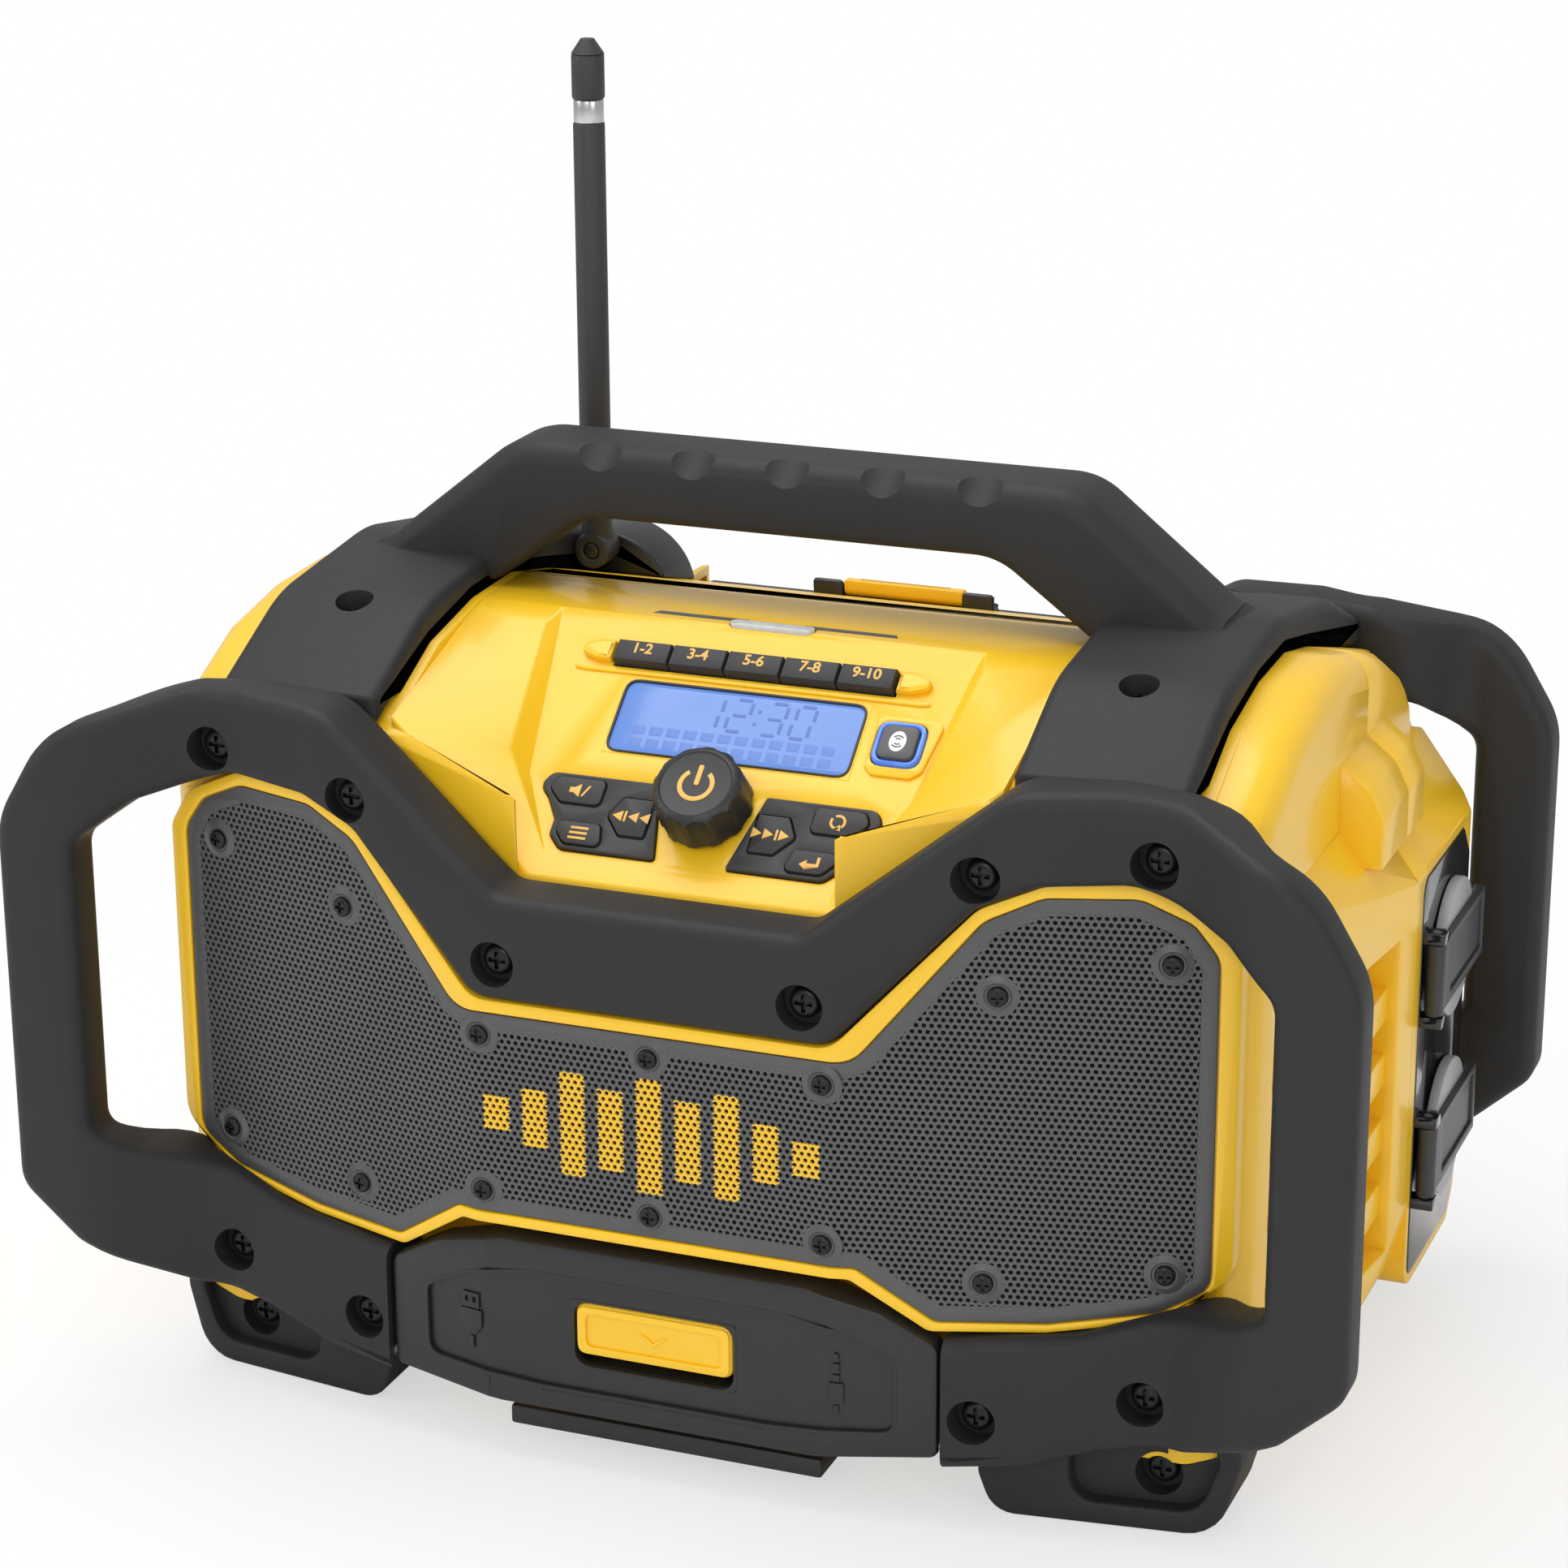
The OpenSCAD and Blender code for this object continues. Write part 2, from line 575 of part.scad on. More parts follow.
module rear_shell() color(YELLOW) difference() {
    union() {
        difference() {
            union() {
                intersection() {
                    body_form(0);
                    box(-half_w, half_w, split_d + seam / 2, total_d, 0, handle_top);
                }
                rear_form(0);
                housing(0, side_half);
            }
            intersection() {
                body_form(-wall);
                box(-side_half + housing_wall, side_half - housing_wall, split_d - 1, total_d, 0,
                    handle_top);
            }
            rear_form(wall);
            housing(-wall, side_half - housing_wall);
        }
        // Walls of the battery bay.
        box(-bay_half - wall, bay_half + wall, bay_front - wall, rear_face - 1, bay_floor - wall,
            bay_roof + wall);
        // Lugs of the battery door.
        both_sides() difference() {
            side_view([[rear_face - 2, hinge_z - 7, 0], [hinge_d, hinge_z - 7, 0],
                [hinge_d + 5, hinge_z, 0], [hinge_d, hinge_z + 7, 0], [rear_face - 2, hinge_z + 7, 0]],
                battery_half + key_gap, battery_half + 6);
            rod_x(battery_half, battery_half + 7, hinge_d, hinge_z, pin_d / 2 + running / 2);
        }
        intersection() {
            body_form(-1);
            union() {
                mirror([0, 1, 0]) screw_bosses(rear_holes);
                saddle_bosses(saddle_hole_d[1]);
            }
        }
        mirror([0, 1, 0]) foot_lugs();
    }
    box(-bay_half, bay_half, bay_front, total_d, bay_floor, bay_roof);
    // Step under the battery door's top flange.
    box(-battery_half - key_gap, battery_half + key_gap, flange_d - key_gap, total_d, flange_z, handle_top);
    side_view(grown(plate_outline, 0.1), side_half - plate_deep + seam - 0.1, half_w);
    for (z = outlets) rod_x(side_half - 40, half_w, outlet_mid, z, outlet_d / 2 + seam);
    mirror([0, 1, 0]) screw_bores(rear_holes);
    saddle_bores(saddle_hole_d[1], shank_r + running, 220, handle_top);
    rod_y(gland_x, rear_face - 18, total_d, gland_z, 8 + seam);
    mirror([0, 1, 0]) foot_bores();
}
rear_holes = [[118, 232, 21], [162.4, 233, 28.5], [118, 52, 21], [162, 60, 28.5]];
gland_x = 150;
gland_z = 128;

// ---- Control panel and what it carries ------------------------------------------------------
module control_panel() color(YELLOW) {
    difference() {
        panel_form(panel_t, 0);
        on_panel(0, lcd_v, 0) cube([lcd_w + 0.6, lcd_h + 0.6, 20], center = true);
        on_panel(0, knob_v, -10) cylinder(h = 20, r = 6);
        on_panel(0, 0, -10) both_sides() linear_extrude(20) shape(grown(pad_outline, 0.2));
        on_panel(0, preset_v, 0)
            cube([5 * preset_pitch + 2 * key_gap, preset_h + 2 * key_gap, 20], center = true);
        on_panel(pair_x, pair_v, 0) cube([pair_w + 4.6, pair_w + 4.6, 20], center = true);
        translate([0, back(pill_d), 250]) linear_extrude(30) pill(30.4, 5.4);
    }
    // Posts of the control board.
    on_panel(0, 0, 0) both_sides() for (p = [[60.5, 52], [56.5, 95]])
        translate([p[0], p[1], board_n + board_t + 0.1]) cylinder(h = -board_n - 3, r = 2.4);
}
module pill(w, h) {
    square([w - h, h], center = true);
    for (x = [-1, 1]) translate([x * (w - h) / 2, 0]) circle(d = h);
}
module lcd_lens() color("#6f97e8") on_panel(0, lcd_v, -1.5) cube([lcd_w, lcd_h, 1.8], center = true);
module lcd_module() color(GREY) on_panel(0, lcd_v, -5.7) cube([lcd_w + 6, lcd_h + 3, 6.4], center = true);
module control_board() color(BOARD) on_panel(0, 0, board_n) difference() {
    translate([-64, 14, 0]) cube([128, 85, board_t]);
    // Notch for the cable.
    translate([-50, 10, -1]) cube([10, 10, 4]);
}
encoder_top = 3.5;
module rotary_encoder() color(METAL) on_panel(0, knob_v, board_n + board_t + 0.1) difference() {
    union() {
        translate([-7, -6.5, 0]) cube([14, 13, 5.2]);
        cylinder(h = encoder_top - board_n - board_t, r = 5);
    }
    translate([0, 0, 1]) cylinder(h = 40, r = shaft_d / 2 + running);
}
module encoder_plunger() color(METAL) on_panel(0, knob_v, board_n + 3.6)
    cylinder(h = knob_h - 3.3 - board_n - 3.6, r = shaft_d / 2);
knob_base = mat_rise + 0.9;
module volume_knob() color(BLACK) on_panel(0, knob_v, knob_base) difference() {
    union() {
        cylinder(h = knob_h - knob_base - 4, r1 = knob_d / 2, r2 = knob_d / 2 - 0.8);
        translate([0, 0, knob_h - knob_base - 4])
            cylinder(h = 4, r1 = knob_d / 2 - 0.8, r2 = knob_d / 2 - 3);
    }
    translate([0, 0, -1]) cylinder(h = knob_h - knob_base - 2, r = shaft_d / 2 + running);
    translate([0, 0, -1]) cylinder(h = encoder_top + 0.6, r = 7);
}
module keypad_mat() color(DARK) on_panel(0, 0, 0) difference() {
    union() {
        translate([0, 0, pads_z]) both_sides() linear_extrude(mat_rise - pads_z) shape(pad_outline);
        translate([0, 0, pads_z - 1]) both_sides() linear_extrude(1.2) shape(grown(pad_outline, 0.8));
        // Web that joins the two pads under the panel.
        translate([-13, 18, pads_z - 1]) cube([26, 9, 1.2]);
    }
    translate([0, 0, -10]) both_sides() linear_extrude(20) {
        shape(grown(upper_key, key_gap));
        shape(grown(lower_key, key_gap));
        shape(grown(skip_key, key_gap));
    }
}
module mute_key() color(DARK) pad_key(upper_key, -1);
module menu_key() color(DARK) pad_key(lower_key, -1);
module skip_back_key() color(DARK) pad_key(skip_key, -1);
module mode_key() color(DARK) pad_key(upper_key, 1);
module enter_key() color(DARK) pad_key(lower_key, 1);
module skip_forward_key() color(DARK) pad_key(skip_key, 1);
module preset_key(i) color(DARK) on_panel((i - 3) * preset_pitch, preset_v, 0) {
    translate([-preset_w / 2, -preset_h / 2, -4]) cube([preset_w, preset_h, 8]);
    translate([-preset_w / 2, -preset_h / 2 - 1.2, -4]) cube([preset_w, preset_h + 2.4, 1.4]);
}
module pairing_ring() color("#2f63d8") on_panel(pair_x, pair_v, 0) difference() {
    translate([0, 0, -1.1]) cube([pair_w + 4, pair_w + 4, 6], center = true);
    cube([pair_w + 2 * key_gap, pair_w + 2 * key_gap, 20], center = true);
}
module pairing_button() color(DARK) on_panel(pair_x, pair_v, 0) {
    translate([-pair_w / 2, -pair_w / 2, -4.6]) cube([pair_w, pair_w, 7.6]);
    translate([-pair_w / 2 - 1.2, -pair_w / 2 - 1.2, -5.6]) cube([pair_w + 2.4, pair_w + 2.4, 1.2]);
}
module indicator_lens() color("#e8e8e0") intersection() {
    translate([0, back(pill_d), 250]) linear_extrude(30) pill(30, 5);
    panel_form(panel_t, 0.8);
}

// ---- Grille and speakers --------------------------------------------------------------------
module speaker_grille() color(GREY) difference() {
    intersection() {
        front_view(grille_outline, 0, 60);
        difference() {
            plan(swept_plan(grille_d, front_half, 55), 0, handle_top);
            plan(swept_plan(grille_d + grille_t, front_half + 1, 56), -1, handle_top + 1);
        }
    }
    grille_bores();
}
module grille_screws() color(BLACK) at_grille_screws() {
    translate([0, 0, -grille_shank]) cylinder(h = grille_shank + 0.1, r = 1.5);
    translate([0, 0, 0.02]) cylinder(h = 2, r = 3.4);
}
speaker_seat = 7.3;
module speaker_frame() on_wing() difference() {
    union() {
        translate([0, 0, speaker_seat - 2.5]) cylinder(h = 3, r = speaker_d / 2 + 4);
        translate([0, 0, speaker_seat]) cylinder(h = 24, r1 = speaker_d / 2 - 2, r2 = 22);
        translate([0, 0, speaker_seat + 24]) cylinder(h = 16, r = 26);
    }
    translate([0, 0, speaker_seat - 3]) cylinder(h = 24, r1 = speaker_d / 2 - 3, r2 = 16);
}
module speaker_cone() on_wing() translate([0, 0, speaker_seat - 4.1]) difference() {
    union() {
        cylinder(h = 1.5, r = speaker_d / 2 - 1);
        cylinder(h = 20, r1 = speaker_d / 2 - 6, r2 = 14);
    }
    translate([0, 0, -eps]) cylinder(h = 16, r1 = speaker_d / 2 - 7, r2 = 15);
}
module left_speaker_frame() color(METAL) mirror([1, 0, 0]) speaker_frame();
module left_speaker_cone() color(BLACK) mirror([1, 0, 0]) speaker_cone();
module right_speaker_frame() color(METAL) speaker_frame();
module right_speaker_cone() color(BLACK) speaker_cone();

// ---- Cage, handle, base and feet ------------------------------------------------------------
module cage_form(outline, g) intersection() {
    front_view(grown(outline, g), 0, cage_back + 20);
    plan(grown(cage_plan, g), 0, handle_top);
}
module screw_wells(holes) both_sides() for (h = holes) {
    rod_y(h[0], -1, h[2] + screw_head_t, h[1], screw_well_d / 2);
    rod_y(h[0], 0, 60, h[1], shank_r + running);
}
module front_guard() color(DARK) difference() {
    cage_form(front_cage, 0);
    front_form(seam, grille_d - 0.8);
    screw_wells(guard_holes);
    both_sides() rod_x(90, 104, door_d, door_z, pin_d / 2 + running / 2);
}
module rear_guard() color(DARK) mirror([0, 1, 0]) difference() {
    cage_form(rear_cage, 0);
    both_sides() box(loop_in - 23.5, loop_in - 8, 34, cage_back + 1, 0, handle_top);
    screw_wells(rear_holes);
}

module screw(h, length) {
    rod_y(h[0], h[2], h[2] + screw_head_t, h[1], screw_head_d / 2);
    rod_y(h[0], h[2] + screw_head_t, h[2] + length, h[1], shank_r);
}
module saddle_screw(d, z) {
    rod_z(saddle_hole_x, d, z, z + screw_head_t, screw_head_d / 2);
    rod_z(saddle_hole_x, d, z - 18, z, shank_r);
}
module guard_screws() color(BLACK) both_sides() {
    for (h = guard_holes) screw(h, screw_length);
    mirror([0, 1, 0]) for (h = rear_holes) screw(h, screw_length);
    front_and_back() screw(foot_hole, foot_back + 4 - foot_hole[2]);
    for (d = saddle_hole_d) saddle_screw(d, saddle_seat(d));
}

// Height of the saddle's underside at depth d, and of the step that its screws press on.
function under_saddle(d) = lookup(d, [[43, 238], [84, 257.5], [117, 264], [148, 265], [split_d, 259],
    [total_d - 84, 249], [total_d - 50, 239], [total_d, 222]]) + seam;
saddle_floor = 4;
function saddle_seat(d) = under_saddle(d) + saddle_floor;
saddle_side = [[main_front, under_saddle(43), 0], [84, under_saddle(84), 0], [117, under_saddle(117), 0],
    [148, under_saddle(148), 0], [split_d, under_saddle(split_d), 0],
    [total_d - 84, under_saddle(total_d - 84), 0],
    [main_back, under_saddle(main_back), 0], [main_back, under_saddle(main_back) + saddle_t, 2],
    [total_d - 84, 266, 30], [148, 277, 60], [84, 270.5, 60],
    [main_front, under_saddle(43) + saddle_t, 2]];
grip_front = 130;
handle_outline = symmetric([[74, handle_top - grip_h, 12], [109, 266, 3],
    [saddle_in + saddle_w - 2, 266, 2], [saddle_in + saddle_w - 3, 273, 4], [149, 278.5, 16],
    [101, handle_top, 18]]);
module carry_handle() color(DARK) difference() {
    union() {
        difference() {
            front_view(handle_outline, grip_front, grip_front + grip_depth);
            for (i = [0 : scallop_count - 1]) let (x = (i - (scallop_count - 1) / 2) * scallop_pitch)
                rod_y(x, 0, total_d, handle_top + 17, 19.5);
        }
        both_sides() side_view(saddle_side, saddle_in, saddle_in + saddle_w);
    }
    for (d = saddle_hole_d) {
        saddle_bores(d, 6.5, saddle_seat(d), handle_top);
        saddle_bores(d, shank_r + running, 220, handle_top);
    }
}

plate_top_z = 14.4;
module base_plate() color(BLACK) {
    box(-56, 56, 17, lock_d, plate_top_z - 7, plate_top_z);
    for (x = [-44, 44], d = [80, lock_d - 10]) rod_z(x, d, plate_top_z - eps, body_bottom - seam, 5);
}

foot_front = 28;
foot_back = foot_front + foot_d;
lug_depth = 12;
lug_r = 6.5;
foot_outline = [[111, 0, 14], [184, 0, 14], [191, 26, 12], [190, foot_h, 4], [106, foot_h, 4],
    [106, 14, 8]];
foot_recess = [[136, 8, 8], [178, 8, 10], [184, 26, 6], [182, 34, 4], [136, 34, 4]];
foot_sweep = 12.5;
// Plan of the space in front of the foot, deeper by g.
function before_foot(g) = [[90, -1, 0], [200, -1, 0], [200, foot_front + foot_sweep + g, 0],
    [106, foot_front + g, 0], [90, foot_front + g, 0]];
module foot(at_rear) difference() {
    front_view(foot_outline, 0, foot_back);
    plan(before_foot(0), -1, handle_top);
    front_view(grown(front_cage, seam), 0, cage_back + seam);
    mirror([0, at_rear ? 1 : 0, 0]) body_form(seam);
    if (at_rear) mirror([0, 1, 0]) housing(seam, side_half + seam);
    // Recessed face with the foot's screw.
    intersection() {
        front_view(foot_recess, 0, foot_back);
        plan(before_foot(6), 0, handle_top);
    }
    rod_y(foot_hole[0], 0, foot_hole[2] + screw_head_t, foot_hole[1], screw_well_d / 2);
    rod_y(foot_hole[0], 0, foot_back + 1, foot_hole[1], shank_r + running);
}
module front_right_foot() color(DARK) foot(false);
module front_left_foot() color(DARK) mirror([1, 0, 0]) foot(false);
module rear_right_foot() color(DARK) mirror([0, 1, 0]) foot(true);
module rear_left_foot() color(DARK) mirror([1, 0, 0]) mirror([0, 1, 0]) foot(true);

// ---- Port door ------------------------------------------------------------------------------
port_outline = symmetric([[55, 20, 8], [port_half, 24, 3], [port_half, 63.5, 5], [78, 74, 4], [54, 80, 6]]);
latch_z = 51;
latch_front = 10;
port_front = 8;
port_bar = port_front + port_t;
// Plan of the door's face moved back by g: the space before it, or behind it as far as depth d1.
function port_face_plan(g, d1) = [[-60, port_front + g, 10], [60, port_front + g, 10],
    [port_half + 2, port_front + port_sweep + g, 0], [port_half + 2, d1, 0], [-port_half - 2, d1, 0],
    [-port_half - 2, port_front + port_sweep + g, 0]];
module port_door() color(DARK) difference() {
    union() {
        intersection() {
            front_view(port_outline, 0, 40);
            plan(port_face_plan(0, port_bar), 0, 100);
        }
        box(-port_half_in + 2, port_half_in - 2, port_bar - eps, port_face - key_gap, 40, port_roof);
    }
    // Recess between the embossed marks, and the latch's slot.
    difference() {
        front_view(symmetric([[40, 28, 6], [84, 31, 6], [84, 57, 5], [66, 66, 5], [46, 70, 5]]), 0, 16);
        plan(port_face_plan(1.6, 40), 0, 100);
    }
    // The lower back edge is cut away where the opening door turns towards the body.
    box(-100, 100, door_d - 0.5, 40, 0, door_z - 3.5);
    box(-latch_w / 2 - key_gap, latch_w / 2 + key_gap, 0, 40,
        latch_z - latch_h / 2 - latch_travel - key_gap, latch_z + latch_h / 2 + key_gap);
    both_sides() rod_x(84, 100, door_d, door_z, pin_d / 2 + running);
    both_sides() box(port_half_in - 30, port_half_in - 6, port_bar, 40, 44, port_roof - 4);
}
module port_latch() color(YELLOW) {
    half = [[latch_w / 2, latch_z - latch_h / 2, 4], [latch_w / 2, latch_z + latch_h / 2, 4]];
    front_view(symmetric(half), latch_front, port_face - 1);
}
module door_pins() color(METAL) both_sides() {
    rod_x(86, 103.5, door_d, door_z, pin_d / 2);
    rod_x(battery_half - 11, battery_half + 6, hinge_d, hinge_z, pin_d / 2);
}
usb_x = -46;
aux_x = 46;
port_mid = (port_floor + port_roof) / 2;
module usb_socket() color(METAL) difference() {
    box(usb_x - 7, usb_x + 7, port_back - 6, port_back + 12, port_mid - 3.5, port_mid + 3.5);
    box(usb_x - 6, usb_x + 6, port_back - 7, port_back + 6, port_mid - 2.5, port_mid + 2.5);
}
module aux_socket() color(BLACK) difference() {
    rod_y(aux_x, port_back - 4, port_back + 12, port_mid, 5);
    rod_y(aux_x, port_back - 5, port_back + 10, port_mid, 1.8);
}
module port_bores() {
    box(usb_x - 7.1, usb_x + 7.1, port_back - 1, port_back + 20, port_mid - 3.6, port_mid + 3.6);
    rod_y(aux_x, port_back - 1, port_back + 20, port_mid, 5.1);
}

// ---- Outlets --------------------------------------------------------------------------------
plate_in = side_half - plate_deep + seam;
plate_out = side_half + 0.3;
pivot_x = plate_out + 4;
pivot_d = plate_d0 + 4;
barrel_h = 26;
lug_t = 4;
module socket_plate() color(BLACK) difference() {
    union() {
        side_view(plate_outline, plate_in, plate_out);
        for (z = outlets, s = [-1, 1]) translate([0, 0, z + s * (barrel_h / 2 + key_gap + lug_t / 2)])
            box(plate_out - eps, pivot_x + 3.5, pivot_d - 3.5, pivot_d + 3.5, -lug_t / 2, lug_t / 2);
    }
    for (z = outlets) {
        rod_x(plate_in - 1, plate_out + 1, outlet_mid, z, outlet_d / 2 - 2);
        rod_z(pivot_x, pivot_d, z - 30, z + 30, cover_pin_d / 2 + running / 2);
    }
}
module outlet(z) color(BLACK) difference() {
    rod_x(side_half - 34, plate_in - 0.1, outlet_mid, z, outlet_d / 2);
    rod_x(side_half - 18, side_half, outlet_mid, z, outlet_d / 2 - 3);
    for (s = [-1, 1]) rod_x(side_half - 30, side_half, outlet_mid + s * 9.5, z, 2.6);
}
module upper_socket() outlet(outlets[1]);
module lower_socket() outlet(outlets[0]);
module outlet_cover(z) color(GREY) difference() {
    union() {
        rod_x(plate_out + key_gap, plate_out + 4, outlet_mid + 2, z, cover_d / 2);
        rod_z(pivot_x, pivot_d, z - barrel_h / 2, z + barrel_h / 2, 3.4);
        box(plate_out + 2.5, plate_out + 6.5, pivot_d, plate_d1 - 1, z - 12.5, z + 12.5);
    }
    rod_z(pivot_x, pivot_d, z - 30, z + 30, cover_pin_d / 2 + running);
    box(plate_out + 5.3, plate_out + 9, pivot_d + 14, plate_d1 - 4, z - 9.5, z + 9.5);
}
module upper_socket_cover() outlet_cover(outlets[1]);
module lower_socket_cover() outlet_cover(outlets[0]);
module cover_pins() color(METAL) for (z = outlets)
    rod_z(pivot_x, pivot_d, z - barrel_h / 2 - lug_t, z + barrel_h / 2 + lug_t, cover_pin_d / 2);

// ---- Antenna --------------------------------------------------------------------------------
antenna_d = total_d - 90.5;
antenna_pivot = 260;
drum_front = total_d - 84;
drum_r = 26;
collar_z = antenna_top - 29;
tip_z = antenna_top - 21;
module antenna_base() color(BLACK) difference() {
    union() {
        rod_y(antenna_x, drum_front, drum_front + 24, antenna_pivot - 22, drum_r);
        rod_y(antenna_x, antenna_d - 6, drum_front + eps, antenna_pivot, 3);
    }
    body_form(0.2);
    both_sides() side_view(grown(saddle_side, seam), saddle_in - seam, half_w);
}
module antenna_mast() color(BLACK) difference() {
    union() {
        rod_y(antenna_x, antenna_d - 6, antenna_d + 6, antenna_pivot, 6.6);
        rod_z(antenna_x, antenna_d, antenna_pivot, collar_z, mast_d / 2);
    }
    rod_y(antenna_x, antenna_d - 7, antenna_d + 7, antenna_pivot, 3 + running);
}
module antenna_collar() color(METAL) rod_z(antenna_x, antenna_d, collar_z, tip_z, mast_d / 2 - 0.3);
module antenna_tip() color(BLACK) {
    rod_z(antenna_x, antenna_d, tip_z, antenna_top - 5, mast_d / 2 + 0.2);
    translate([antenna_x, back(antenna_d), antenna_top - 5 - eps])
        cylinder(h = 5 + eps, r1 = mast_d / 2 + 0.2, r2 = 2.4);
}

// ---- Battery door ---------------------------------------------------------------------------
lock_d = total_d - 46;
lock_z = 241.4;
module battery_door() color(DARK) difference() {
    union() {
        half = [[battery_half, hinge_z, 0], [battery_half, 222, 10], [battery_half - 12, 237, 6]];
        front_view(symmetric(half), rear_face + seam, total_d);
        rod_x(-battery_half, battery_half, hinge_d, hinge_z, barrel_r);
        box(-battery_half + 12, battery_half - 12, flange_d, total_d - 11, flange_z + key_gap, 237);
        both_sides() box(battery_latch_w / 2 + key_gap, 34.8, flange_d, lock_d + 5, 236, lock_z + 3);
    }
    both_sides() rod_x(battery_half - 13, battery_half + 1, hinge_d, hinge_z, pin_d / 2 + running);
    // Moulded relief in the outer face.
    front_view(symmetric([[70, 104, 8], [70, 200, 10], [56, 216, 8]]), total_d - 3, total_d + 1);
    rod_x(-36, 36, lock_d, lock_z, 1.5 + running);
}
module battery_latch() color(YELLOW) difference() {
    union() {
        rod_x(-battery_latch_w / 2, battery_latch_w / 2, lock_d, lock_z, 3.2);
        box(-battery_latch_w / 2, battery_latch_w / 2, lock_d - 3.2, lock_d, lock_z, lock_z + 3.2);
        rod_x(-33, 33, lock_d, lock_z, 1.5);
    }
    box(-battery_latch_w / 2 + 6, battery_latch_w / 2 - 6, lock_d - 1, lock_d + 1, lock_z + 2, lock_z + 4);
}

// ---- Inside ---------------------------------------------------------------------------------
module battery_terminals() color(BLACK) {
    box(-30, 30, bay_front + 0.1, bay_front + 16, 130, 170);
    for (x = [-18, -6, 6, 18]) box(x - 0.6, x + 0.6, bay_front + 16 - eps, bay_front + 30, 138, 162);
}
module main_board() color(BOARD) box(-70, 70, 62, 150, 36.1, 37.7);
module power_supply() color(METAL) box(-66, 66, split_d + 7, flange_d, body_bottom + wall + 0.1, 78);
module cord_gland() color(BLACK) difference() {
    union() {
        rod_y(gland_x, rear_face - 16, rear_face + 6, gland_z, 8);
        rod_y(gland_x, rear_face + 0.1, rear_face + 4, gland_z, 11);
    }
    rod_y(gland_x, rear_face - 8, rear_face + 7, gland_z, 4);
}

front_shell();
rear_shell();
control_panel();
speaker_grille();
front_guard();
rear_guard();
carry_handle();
base_plate();
front_left_foot();
front_right_foot();
rear_left_foot();
rear_right_foot();
guard_screws();
grille_screws();
lcd_lens();
lcd_module();
control_board();
rotary_encoder();
encoder_plunger();
volume_knob();
keypad_mat();
mute_key();
menu_key();
skip_back_key();
mode_key();
enter_key();
skip_forward_key();
preset_key(1);  // preset_key_1
preset_key(2);  // preset_key_2
preset_key(3);  // preset_key_3
preset_key(4);  // preset_key_4
preset_key(5);  // preset_key_5
pairing_ring();
pairing_button();
indicator_lens();
left_speaker_frame();
left_speaker_cone();
right_speaker_frame();
right_speaker_cone();
port_door();
port_latch();
door_pins();
usb_socket();
aux_socket();
socket_plate();
upper_socket();
lower_socket();
upper_socket_cover();
lower_socket_cover();
cover_pins();
antenna_base();
antenna_mast();
antenna_collar();
antenna_tip();
battery_door();
battery_latch();
battery_terminals();
main_board();
power_supply();
cord_gland();
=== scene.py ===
import math

import bmesh
import bpy
import numpy as np
from mathutils import Matrix, Vector


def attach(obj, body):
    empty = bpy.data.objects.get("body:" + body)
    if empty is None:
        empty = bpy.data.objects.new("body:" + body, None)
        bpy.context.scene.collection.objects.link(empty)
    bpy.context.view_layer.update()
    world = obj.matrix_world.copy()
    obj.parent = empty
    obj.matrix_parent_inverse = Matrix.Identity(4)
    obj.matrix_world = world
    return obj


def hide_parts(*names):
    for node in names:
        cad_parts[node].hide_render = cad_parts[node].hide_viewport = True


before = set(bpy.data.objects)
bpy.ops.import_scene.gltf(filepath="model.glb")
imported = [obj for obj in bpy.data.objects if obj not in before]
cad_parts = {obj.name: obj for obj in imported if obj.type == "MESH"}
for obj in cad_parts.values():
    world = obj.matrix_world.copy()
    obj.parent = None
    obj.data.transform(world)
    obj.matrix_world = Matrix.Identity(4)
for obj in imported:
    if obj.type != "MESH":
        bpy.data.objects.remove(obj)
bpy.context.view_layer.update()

mm = 0.001
front_y = -148 * mm

# ---- Camera and room ------------------------------------------------------------------------
# The radio stands on a plain pale floor in a white room. A broad soft lamp hangs over it, with
# weaker ones at its sides. The camera stands high on the right.
azimuth, elevation, roll = (math.radians(angle) for angle in (21.6, 18.6, -0.3))
ahead = Vector((-math.sin(azimuth) * math.cos(elevation),
                math.cos(azimuth) * math.cos(elevation), -math.sin(elevation)))
right = Vector((math.cos(azimuth), math.sin(azimuth), 0))
up = right.cross(ahead)
level = right.copy()
right = math.cos(roll) * level + math.sin(roll) * up
up = math.cos(roll) * up - math.sin(roll) * level
bpy.ops.object.camera_add(location=(0.492, -1.262, 0.6558))
camera = bpy.context.object
camera.matrix_world = (Matrix.Translation(camera.location)
                       @ Matrix((right, up, -ahead)).transposed().to_4x4())
camera.data.lens = 95.03
camera.data.sensor_width = 36
bpy.context.scene.camera = camera
bpy.context.scene.view_settings.view_transform = "Standard"


def lamp(name, place, aim, size, power):
    """A square soft lamp that faces the point aim."""
    bpy.ops.object.light_add(type="AREA", location=place)
    light = bpy.context.object
    light.name = name
    light.data.size = size
    light.data.energy = power
    light.rotation_euler = (Vector(aim) - Vector(place)).to_track_quat("-Z", "Y").to_euler()


lamp_aim = (0, 0, 0.15)
lamp("lamp_over", (-0.3, 0.1, 1.7), lamp_aim, 1.4, 17)
lamp("lamp_left", (-1.5, -0.9, 0.9), lamp_aim, 0.9, 6)
lamp("lamp_right", (1.5, -1.0, 0.8), lamp_aim, 0.9, 5)
lamp("lamp_front", (0.3, -2.0, 1.1), lamp_aim, 1.0, 9)


